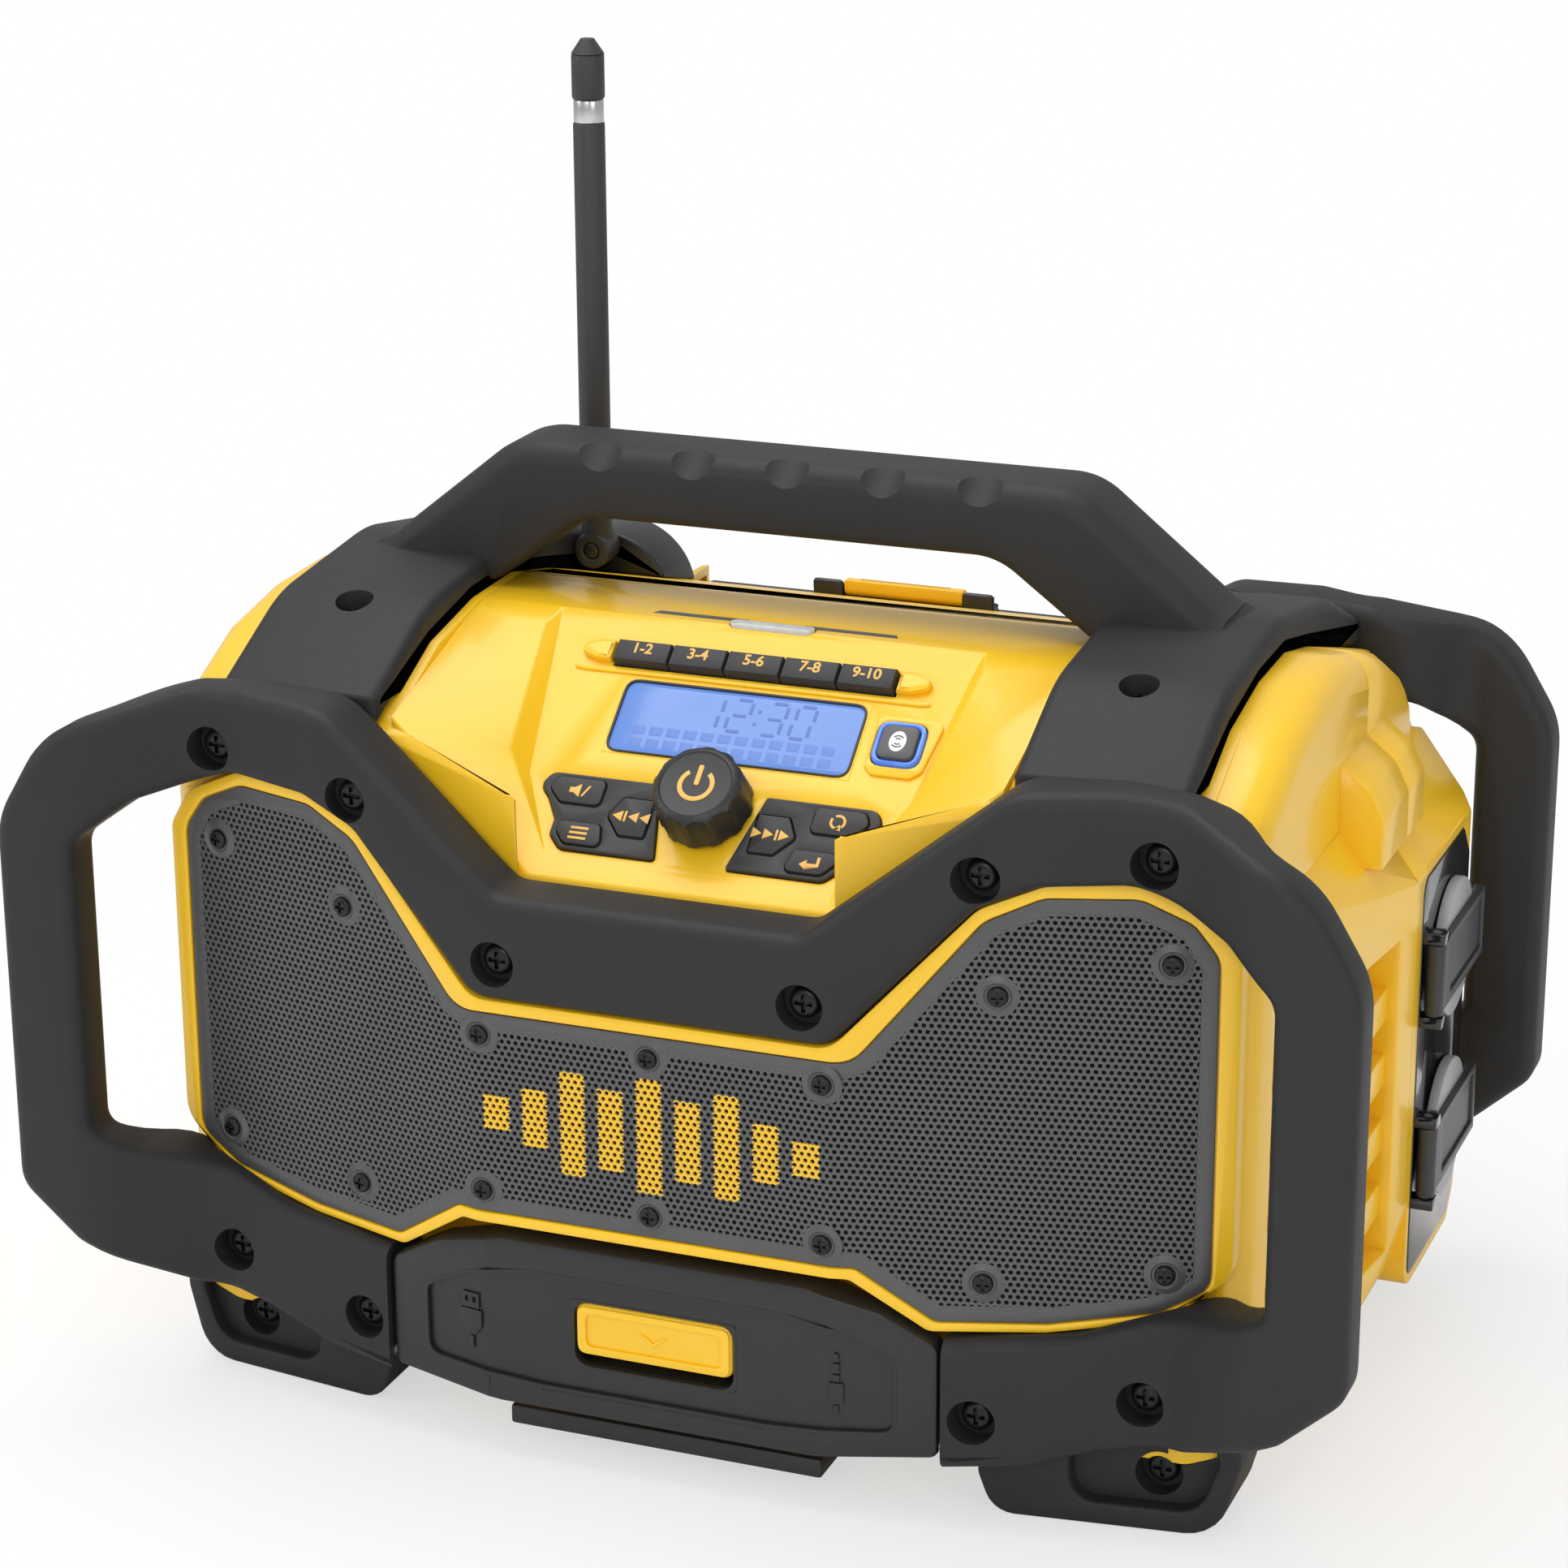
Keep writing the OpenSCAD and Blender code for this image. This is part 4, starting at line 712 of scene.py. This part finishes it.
# The grip has a broad soft back, and finger grooves in its upper front edge.
grip_half = [(74, 292, 24), (109, 266, 8), (166, 266, 2), (165, 273, 4), (149, 278.5, 16),
             (101, 317, 26)]
groove_pitch = 34
groove_turn = Matrix.Rotation(math.radians(-52), 4, "X") @ raised(-20)


def grip_rim(edge):
    """True for an edge round the front or the back face of the grip."""
    slants = [abs(face.normal.y) for face in edge.link_faces]
    return min(slants) < 0.1 and max(slants) > 0.9


def upper_rim(edge):
    """True for a rim edge on the upper side of the grip."""
    return (grip_rim(edge) and min(face.normal.z for face in edge.link_faces) > -0.1
            and edge.verts[0].co.z > 277 * mm)


handle = block("carry_handle_rubber", mirrored(grip_half), 36, on_face(0, 166, 0))
split(handle, (-120, -88, -60, 60, 88, 120))
round_edges(handle, 8 * mm, 5, upper_rim)
round_edges(handle, 4 * mm, 3, lambda edge: grip_rim(edge) and edge.verts[0].co.z < 300 * mm)
cut(handle, drill("grooves", 12, 34, [at(groove_pitch * number, 127.6, 322.6) @ groove_turn
                                      for number in range(-2, 3)]))
saddle = [(42.3, 238.3, 0), (84, 257.8, 0), (117, 264.3, 0), (148, 265.3, 0), (177, 259.3, 0),
          (212, 249.3, 0), (253.7, 236.9, 0), (253.7, 248.4, 2), (212, 266, 30), (148, 277, 60),
          (84, 270.5, 60), (42.3, 249.8, 2)]
for side in (-1, 1):
    seat = block("seat", saddle, 58, on_side(110 if side > 0 else -168))
    round_edges(seat, 4 * mm, 4,
                lambda edge: max(abs(face.normal.x) for face in edge.link_faces) > 0.9)
    cut(handle, seat, "UNION")
upright = [place for place in guard_screw_places if abs(place.col[2].z) > 0.5]
cut(handle, drill("wells", 6.5, 60, upright))
dress(handle, rubber, nodes=["carry_handle"])
for node in ("front_left_foot", "front_right_foot", "rear_left_foot", "rear_right_foot"):
    mould(node, node + "_rubber", 1.6, rubber, "body", 3, away_from_wells, 50)

# ---- Display --------------------------------------------------------------------------------
# A blue backlit display lies behind a clear window with round corners. Dark segments stand out
# faintly on it, and a thin black gasket goes round it.
slope = math.radians(40)
display_v = 70.6


def on_panel(x, v, over=0.0):
    """The place on the control panel at x across and v up its slope, in millimetres."""
    return (at(0, 32, 193.5) @ Matrix.Rotation(slope, 4, "X")
            @ Matrix.Translation((x * mm, v * mm, over * mm)))


def bar_outline(x, y, width, height, radius):
    """A rectangle with round corners about x and y."""
    w, h = width / 2, height / 2
    return rounded([(x - w, y - h, radius), (x + w, y - h, radius), (x + w, y + h, radius),
                    (x - w, y + h, radius)])


black = Finish("black_plastic", Base_Color=(0.017, 0.017, 0.018, 1), Roughness=0.4)
black.bump(black.noise(0.0008, 3.0), 0.00003)
backlight = 0.85
window = Finish("display_window", Base_Color=(0.02, 0.04, 0.1, 1), Roughness=0.12,
                Emission_Strength=backlight)
window.vary(0.03, (0.13, 0.27, 0.75), (0.19, 0.35, 0.84), "Emission Color", 1.0)
glass = flat_piece("display_glass", [bar_outline(0, 0, 85.4, 27.8, 4.5)], 1.9, 0.25,
                   on_panel(0, display_v, -2.4))
dress(glass, window, nodes=["lcd_lens"])
gasket_edges = [bar_outline(0, 0, 86.4, 28.8, 5), bar_outline(0, 0, 84.6, 27, 4)]
gasket = flat_piece("display_gasket", gasket_edges, 1.7, 0.2, on_panel(0, display_v, -1.3))
dress(gasket, black)
corner_edges = [bar_outline(0, 0, 87.4, 29.8, 0.1), bar_outline(0, 0, 86, 28.4, 5)]
corners = flat_piece("display_corners", corner_edges, 1.6, 0.1, on_panel(0, display_v, -1.62))
dress(corners, yellow)

ink, faint = (Finish(name, Base_Color=(0.02, 0.03, 0.08, 1), Roughness=0.4,
                     Emission_Strength=backlight, Emission_Color=glow)
              for name, glow in (("display_ink", (0.1, 0.2, 0.6, 1)),
                                 ("faint_ink", (0.14, 0.27, 0.73, 1))))
bars_of = {"0": "abcdef", "1": "bc", "2": "abged", "3": "abgcd"}


def digit(which, x, y, height):
    """The bars of a seven-segment digit."""
    w, half, thick = height * 0.26, height / 2, height * 0.1
    lean = 0.12
    upright = {"b": (w, half / 2), "c": (w, -half / 2), "f": (-w, half / 2), "e": (-w, -half / 2)}
    lying = {"a": half, "g": 0, "d": -half}
    outlines = []
    for bar in bars_of[which]:
        if bar in upright:
            dx, dy = upright[bar]
            size = (thick, half - thick * 1.4)
        else:
            dx, dy = 0, lying[bar]
            size = (2 * w - thick * 1.4, thick)
        outlines.append(bar_outline(x + dx + dy * lean, y + dy, *size, thick * 0.45))
    return outlines


time_bars = [bar for which, x in zip("1230", (-10.5, -0.5, 12, 22))
             for bar in digit(which, x, 5, 12.5)]
time_bars += [bar_outline(5.6, 2.4, 1.3, 1.3, 0.4), bar_outline(6.2, 7.4, 1.3, 1.3, 0.4)]
row_bars = [bar_outline(x * 6.1 - 33.5, y, 4.4, 3.4, 0.5)
            for x in range(12) for y in (-4.6, -9.4)]
for name, outlines, finish in (("display_digits", time_bars, ink), ("display_rows", row_bars, faint)):
    shown = flat_piece(name, outlines, 0.12, 0.02, on_panel(0, display_v, -0.52))
    dress(shown, finish)

# ---- Volume knob ----------------------------------------------------------------------------
# A black knob that turns and presses. Its skirt tapers and has shallow grips, a bevel goes round
# its dished top, and the power symbol on it is printed in yellow.
knob_v, knob_base = 38.5, 2.1
bpy.ops.object.select_all(action="DESELECT")
bpy.ops.mesh.primitive_cone_add(vertices=72, radius1=16 * mm, radius2=15.1 * mm, depth=12.4 * mm,
                                location=(0, 0, 6.2 * mm))
bpy.ops.object.transform_apply(location=True)
knob = bpy.context.object
knob.name = "volume_knob_moulding"
inset_top(knob, [(0.9, 0.9), (1.3, 0.9), (0.5, 0.15), (0.5, -0.5), (4.0, -0.35), (4.0, -0.1)])
grip_count, grip_depth = 12, 0.55
for vertex in knob.data.vertices:
    radius = math.hypot(vertex.co.x, vertex.co.y)
    turn = math.atan2(vertex.co.y, vertex.co.x)
    if radius > 14.9 * mm and math.cos(grip_count * turn) < -0.2:
        vertex.co.x *= 1 - grip_depth * mm / radius
        vertex.co.y *= 1 - grip_depth * mm / radius
knob.data.transform(on_panel(0, knob_v, knob_base))
knob_black = Finish("knob_black", Base_Color=(0.02, 0.02, 0.021, 1), Roughness=0.42)
knob_black.bump(knob_black.noise(0.0007, 3.0), 0.00004)
dress(knob, knob_black, "knob", ["volume_knob"])


def arc_outline(inner, outer, start, end, steps=28):
    """A bent bar between two radii and two angles in degrees."""
    turns = [math.radians(start + (end - start) * step / steps) for step in range(steps + 1)]
    return ([(outer * math.cos(turn), outer * math.sin(turn)) for turn in turns]
            + [(inner * math.cos(turn), inner * math.sin(turn)) for turn in reversed(turns)])


mark = Finish("printed_yellow", Base_Color=(0.8, 0.46, 0.09, 1), Roughness=0.45)
power_sign = [arc_outline(4.7, 6.3, 128, 412), bar_outline(0, 3.6, 1.7, 7.6, 0.6)]
power = flat_piece("power_symbol", power_sign, 0.3, 0.05, on_panel(0, knob_v, knob_base + 13.32))
dress(power, mark, "knob")

# ---- Key pads -------------------------------------------------------------------------------
# Two charcoal rubber pads each carry three keys: two with a printed sign between raised ridges,
# and a raised key for skipping, beside the knob.
key_rubber = Finish("key_rubber", Roughness=0.5, Specular_IOR_Level=0.4)
key_rubber.vary(0.02, (0.03, 0.03, 0.031), (0.037, 0.037, 0.039))
key_rubber.bump(key_rubber.noise(0.0007, 3.0), 0.00005)
mould("keypad_mat", "keypad_rubber", 0.5, key_rubber)
for name in ("mute", "menu", "mode", "enter", "skip_back", "skip_forward"):
    mould(name + "_key", name + "_key_rubber", 1.0 if "skip" in name else 0.35, key_rubber,
          name + "_button")


def moved(outlines, x, y, turn=0.0):
    """Outlines turned by an angle in degrees and then moved."""
    c, s = math.cos(math.radians(turn)), math.sin(math.radians(turn))
    return [[(px * c - py * s + x, px * s + py * c + y) for px, py in outline]
            for outline in outlines]


speaker_sign = [[(-3.2, -1), (-1.6, -1), (0.6, -2.5), (0.6, 2.5), (-1.6, 1), (-3.2, 1)],
                [(1.2, -2.1), (2.0, -2.1), (4.0, 2.1), (3.2, 2.1)]]
menu_sign = [bar_outline(0, dy, 6.4, 0.9, 0.3) for dy in (-1.9, 0, 1.9)]
return_sign = [[(-1.2, -0.5), (2.2, -0.5), (2.2, 2.1), (3.2, 2.1), (3.2, -1.5), (-1.2, -1.5)],
               [(-3.6, -1.0), (-1.1, -2.8), (-1.1, 0.8)]]
cycle_sign = [arc_outline(1.9, 2.8, -60, 120, 12), arc_outline(1.9, 2.8, 150, 290, 12),
              [(1.6, -3.2), (-1.0, -2.6), (1.0, -0.8)]]
forward_sign = [[(-7.2, -2), (-7.2, 2), (-3.7, 0)], [(-3.2, -2), (-3.2, 2), (0.3, 0)],
                [(0.9, -2), (1.7, -2), (1.7, 2), (0.9, 2)], [(2.3, -2), (2.3, 2), (5.8, 0)]]
back_sign = [[(-x, y) for x, y in outline] for outline in forward_sign]
key_over = 1.97
for name, outlines, x, v in (
        ("mute", speaker_sign, -45.6, 38.7), ("mode", cycle_sign, 45.6, 38.7),
        ("menu", menu_sign, -40.6, 22.8), ("enter", return_sign, 40.6, 22.8),
        ("skip_forward", forward_sign, 25.2, 31.2), ("skip_back", back_sign, -25.2, 31.2)):
    sign = flat_piece(name + "_sign", outlines, 0.14, 0.03, on_panel(x, v, key_over))
    dress(sign, mark, name + "_button")

# ---- Preset keys ----------------------------------------------------------------------------
# Five dark bars in a row, numbered in pairs. The row ends in a yellow bullet at each side, and a
# long yellow ledge runs below it.
preset_v, preset_pitch, preset_top = 94, 20, 3.9
to_panel = on_panel(0, 0).inverted()
for number, label in enumerate(("1-2", "3-4", "5-6", "7-8", "9-10"), 1):
    body = f"preset_{number}_button"
    mould(f"preset_key_{number}", f"preset_key_{number}_rubber", 1.3, key_rubber, body,
          wanted=lambda edge: all((to_panel @ v.co).z > preset_top * mm for v in edge.verts))
    bpy.ops.object.select_all(action="DESELECT")
    bpy.ops.object.text_add(location=(0, 0, 0))
    label_piece = bpy.context.object
    label_piece.data.body = label
    label_piece.data.size = 5.6 * mm
    label_piece.data.extrude = 0.06 * mm
    label_piece.data.offset = 0.12 * mm
    label_piece.data.align_x = "CENTER"
    label_piece.data.align_y = "CENTER"
    bpy.ops.object.convert(target="MESH")
    label_piece = bpy.context.object
    label_piece.name = f"preset_number_{number}"
    label_piece.data.transform(on_panel((number - 3) * preset_pitch, preset_v + 0.6, 4.05))
    dress(label_piece, mark, body)
for side in (-1, 1):
    bullet = [(50.6, -3.9, 0.5), (56, -3.9, 3), (62, -1.8, 3), (62, 1.8, 3), (56, 3.9, 3),
              (50.6, 3.9, 0.5)]
    path = rounded([(side * x, y, r) for x, y, r in bullet][::side])
    end = flat_piece("row_end_" + ("left" if side < 0 else "right"), [path], 3.6, 1.6,
                     on_panel(0, preset_v, -0.6))
    dress(end, yellow)
ledge_half = [(60, 86.4, 1), (63.5, 87, 1), (63, 88.1, 0.5)]
ledge = flat_piece("panel_ledge", [rounded(mirrored(ledge_half))], 1.2, 0.5, on_panel(0, 0, -0.3))
dress(ledge, yellow)

# ---- Pairing button -------------------------------------------------------------------------
# A grey square button in a clear blue lit ring, on a raised yellow platform. A white oval on it
# holds a sign of waves.
pairing_x, pairing_v = 57.2, 70.8
ring_blue = Finish("lit_blue_ring", Roughness=0.12, Emission_Strength=0.35,
                   Emission_Color=(0.05, 0.2, 0.9, 1), Coat_Weight=0.6)
ring_blue.vary(0.006, (0.02, 0.07, 0.42), (0.12, 0.3, 0.75), detail=1.0)
ring_edges = [bar_outline(0, 0, 16.6, 16.6, 4.4), bar_outline(0, 0, 13.2, 13.2, 3)]
lit = flat_piece("pairing_light", ring_edges, 3.6, 0.7, on_panel(pairing_x, pairing_v, -1.6))
dress(lit, ring_blue, nodes=["pairing_ring"])
key = flat_piece("pairing_cap", [bar_outline(0, 0, 12.6, 12.6, 3)], 8.4, 0.8,
                 on_panel(pairing_x, pairing_v, -5.4))
cap_grey = Finish("cap_grey", Base_Color=(0.09, 0.09, 0.095, 1), Roughness=0.45)
dress(key, cap_grey, "pairing", ["pairing_button"])
white = Finish("white_print", Base_Color=(0.82, 0.82, 0.82, 1), Roughness=0.45)
oval = [(2.9 * math.cos(turn), 3.9 * math.sin(turn))
        for turn in (math.tau * step / 32 for step in range(32))]
spot = flat_piece("pairing_oval", [oval], 0.14, 0.03, on_panel(pairing_x, pairing_v, 2.97))
dress(spot, white, "pairing")
waves = [arc_outline(radius, radius + 0.45, start, end, 10)
         for start, end in ((-48, 48), (132, 228)) for radius in (0.9, 1.9)]
sign = flat_piece("pairing_waves", moved(waves, 0, 0, 90), 0.1, 0.02,
                  on_panel(pairing_x, pairing_v, 3.09))
dress(sign, cap_grey, "pairing")
platform = [(47.5, 61.5, 2), (50.5, 58.5, 3), (64, 58.5, 3), (67.5, 61.5, 3), (70.5, 79, 3),
            (68.5, 81.5, 3), (49.5, 81.5, 3), (47.5, 79.5, 2)]
platform_edges = [rounded(platform), bar_outline(pairing_x, pairing_v, 17.2, 17.2, 4.6)]
step_up = flat_piece("pairing_platform", platform_edges, 1.3, 0.6, on_panel(0, 0, -0.2))
dress(step_up, yellow)

# ---- Indicator ------------------------------------------------------------------------------
# A long clear white lens lights up on the deck behind the presets, in the middle of a thin dark
# printed stripe.
lens_white = Finish("milky_lens", Roughness=0.22, Coat_Weight=0.5, Transmission_Weight=0.25)
lens_white.vary(0.003, (0.62, 0.62, 0.6), (0.88, 0.88, 0.87))
mould("indicator_lens", "indicator_lens_clear", 0.5, lens_white, bend=50)
# The deck rises by 0.8 mm over a depth of 31 mm.
deck = at(0, 122, 264.5) @ Matrix.Rotation(math.atan2(0.8, 31), 4, "X")
for side in (-1, 1):
    stripe = [(side * x, y) for x, y in ((10, -1.4), (44, -1.4), (42.5, 1.6), (10, 1.6))][::side]
    band = flat_piece("label_stripe", [stripe], 0.1, 0.02, deck)
    dress(band, cap_grey)

# ---- Port door ------------------------------------------------------------------------------
# A dark hard plastic door in front of the ports. Its middle is sunk inside a thin raised line, a
# yellow latch slides in it, and a sign of each plug stands up from it.
door_black = Finish("door_black", Base_Color=(0.016, 0.016, 0.017, 1), Roughness=0.36)
door_black.bump(door_black.noise(0.0008, 3.0), 0.00005)
mould("port_door", "port_door_moulding", 1.4, door_black, "door_of_ports", 2,
      lambda edge: min(v.co.y for v in edge.verts) < front_y + 16 * mm, 50)
mould("port_latch", "port_latch_moulding", 1.6, yellow, "latch_of_ports", 3,
      lambda edge: max(v.co.y for v in edge.verts) < front_y + 11 * mm)
latch_face = on_face(0, 10.1, 51)
latch_edges = [bar_outline(0, 0, 54, 17, 3.2), bar_outline(0, 0, 48, 11.6, 2.4)]
latch_rim = flat_piece("port_latch_rim", latch_edges, 1.0, 0.45, latch_face)
dress(latch_rim, yellow, "latch_of_ports")
arrow = [(-5, 1.6), (-3.6, 1.6), (0, -0.9), (3.6, 1.6), (5, 1.6), (0, -2.4)]
chevron = flat_piece("port_latch_arrow", [arrow[::-1]], 0.8, 0.3, latch_face)
dress(chevron, yellow, "latch_of_ports")
usb_sign = [bar_outline(0, 6.6, 6.6, 5.6, 0.4), bar_outline(-1.5, 7, 1.3, 1.9, 0.2),
            bar_outline(1.5, 7, 1.3, 1.9, 0.2),
            rounded([(-4.2, 3.4, 0.4), (4.2, 3.4, 0.4), (4.2, -2.6, 1), (1.6, -6, 1), (-1.6, -6, 1),
                     (-4.2, -2.6, 1)]), bar_outline(0, -8.6, 1.6, 4.6, 0.4)]
jack_sign = [bar_outline(0, 8.4, 1.8, 3, 0.6), bar_outline(0, 4.6, 2.4, 3.4, 0.3),
             bar_outline(0, 1.2, 2.4, 2.4, 0.3), bar_outline(0, -4.4, 5, 7.6, 0.8),
             bar_outline(0, -10, 1.8, 3, 0.4)]
# The door's ends bend back, by 6.5 mm over a width of 39 mm.
port_flat, port_turn = 60, math.atan(6.5 / 39)
for name, outlines, x in (("usb_sign", usb_sign, -66), ("jack_sign", jack_sign, 64)):
    sign = flat_piece(name, moved(outlines, x, 48), 0.9, 0.25)
    bend_sheet(sign, port_flat, port_turn, 9.6)
    dress(sign, door_black, "door_of_ports")
well_path = rounded(mirrored([(40, 28, 6), (84, 31, 6), (84, 57, 5), (66, 66, 5), (46, 70, 5)]))
line_edges = [inset(well_path, -0.3), inset(well_path, 1.1)]
edge_line = flat_piece("port_door_line", line_edges, 1.9, 0.45)
bend_sheet(edge_line, port_flat, port_turn, 9.7)
dress(edge_line, door_black, "door_of_ports")
surround_edges = [bar_outline(0, 49.25, 59, 25.4, 3), bar_outline(0, 49.25, 56.4, 22.9, 5.5)]
surround = flat_piece("port_latch_surround", surround_edges, 4.5, 0.6, on_face(0, 14, 0))
dress(surround, door_black, "door_of_ports")

# ---- Base plate -----------------------------------------------------------------------------
# A black plastic plate closes the body from below, between the feet. It also carries the port
# door in front.
mould("base_plate", "base_plate_moulding", 1.2, black)

# ---- Outlets --------------------------------------------------------------------------------
# A glossy black plate on the right side holds two outlets. A light grey cover with a darker
# frame is hinged over each of them.
gloss = Finish("gloss_black", Base_Color=(0.006, 0.006, 0.007, 1), Roughness=0.14, Coat_Weight=0.6)
mould("socket_plate", "socket_plate_moulding", 0.5, gloss, bend=50)
for node in ("upper_socket", "lower_socket"):
    mould(node, node + "_moulding", 0.4, black)
cover_light = Finish("cover_light_grey", Base_Color=(0.36, 0.36, 0.37, 1), Roughness=0.4)
cover_dark = Finish("cover_frame_grey", Base_Color=(0.035, 0.035, 0.037, 1), Roughness=0.4)
for name, height in (("upper", 142), ("lower", 74.5)):
    cover = mould(name + "_socket_cover", name + "_cover_moulding", 0.6, cover_light,
                  name + "_cover", bend=50)
    cover.data.materials.append(cover_dark.material)
    for face in cover.data.polygons:
        within = abs(face.center.z / mm - height) < 13.2
        if within and (face.center.x > 212.2 * mm or face.center.y < front_y + 196 * mm):
            face.material_index = 1

# ---- Antenna --------------------------------------------------------------------------------
# A thick black whip stands on a folding joint at the back. A bright metal ring sits below its
# rubber tip.
whip_black = Finish("antenna_black", Base_Color=(0.03, 0.03, 0.031, 1), Roughness=0.5)
whip_black.bump(whip_black.noise(0.001, 3.0), 0.00005)
chrome = Finish("antenna_chrome", Base_Color=(0.6, 0.6, 0.61, 1), Metallic=1.0, Roughness=0.22)
for node, finish, slot, body, soft in (("antenna_base", black, "black_plastic", "body", 1.2),
                                       ("antenna_mast", whip_black, "antenna_black", "antenna", 0.8),
                                       ("antenna_collar", chrome, "antenna_chrome", "antenna", 0.3),
                                       ("antenna_tip", whip_black, "antenna_black", "antenna", 1.0)):
    mould(node, node + "_turned", soft, finish, body, 3, bend=40)

# ---- Battery door ---------------------------------------------------------------------------
# A dark hard plastic door closes the battery bay behind, with a chamfer along its top. A small
# yellow bar above that edge locks it.
battery_door = clean_copy("battery_door", "battery_door_moulding")
open_piece(battery_door)
bpy.ops.mesh.bisect(plane_co=(0, front_y + 257 * mm, 235 * mm), plane_no=(0, 16, 38),
                    use_fill=True, clear_outer=True)
bpy.ops.object.mode_set(mode="OBJECT")
round_edges(battery_door, 1.5 * mm, 3, bend=50)
dress(battery_door, door_black, "door_of_battery", ["battery_door"])
mould("battery_latch", "battery_latch_bar", 0.6, yellow, "latch_of_battery", bend=40)

# ---- Ports and inner parts ------------------------------------------------------------------
# The ports, pins, boards, speakers and power supply lie inside or behind doors. They are shown
# as they come from the CAD, with plain steel, board, paper and plastic finishes.
bright = Finish("plain_steel", Base_Color=(0.5, 0.5, 0.51, 1), Metallic=0.9, Roughness=0.35)
green = Finish("green_board", Base_Color=(0.02, 0.13, 0.05, 1), Roughness=0.45)
paper = Finish("cone_paper", Base_Color=(0.02, 0.02, 0.021, 1), Roughness=0.85)
for finish, nodes in (
        (bright, ("usb_socket", "door_pins", "cover_pins", "rotary_encoder", "encoder_plunger",
                  "left_speaker_frame", "right_speaker_frame", "power_supply")),
        (green, ("control_board", "main_board")),
        (paper, ("left_speaker_cone", "right_speaker_cone")),
        (black, ("aux_socket", "battery_terminals", "cord_gland", "lcd_module"))):
    for node in nodes:
        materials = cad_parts[node].data.materials
        materials.clear()
        materials.append(finish.material)
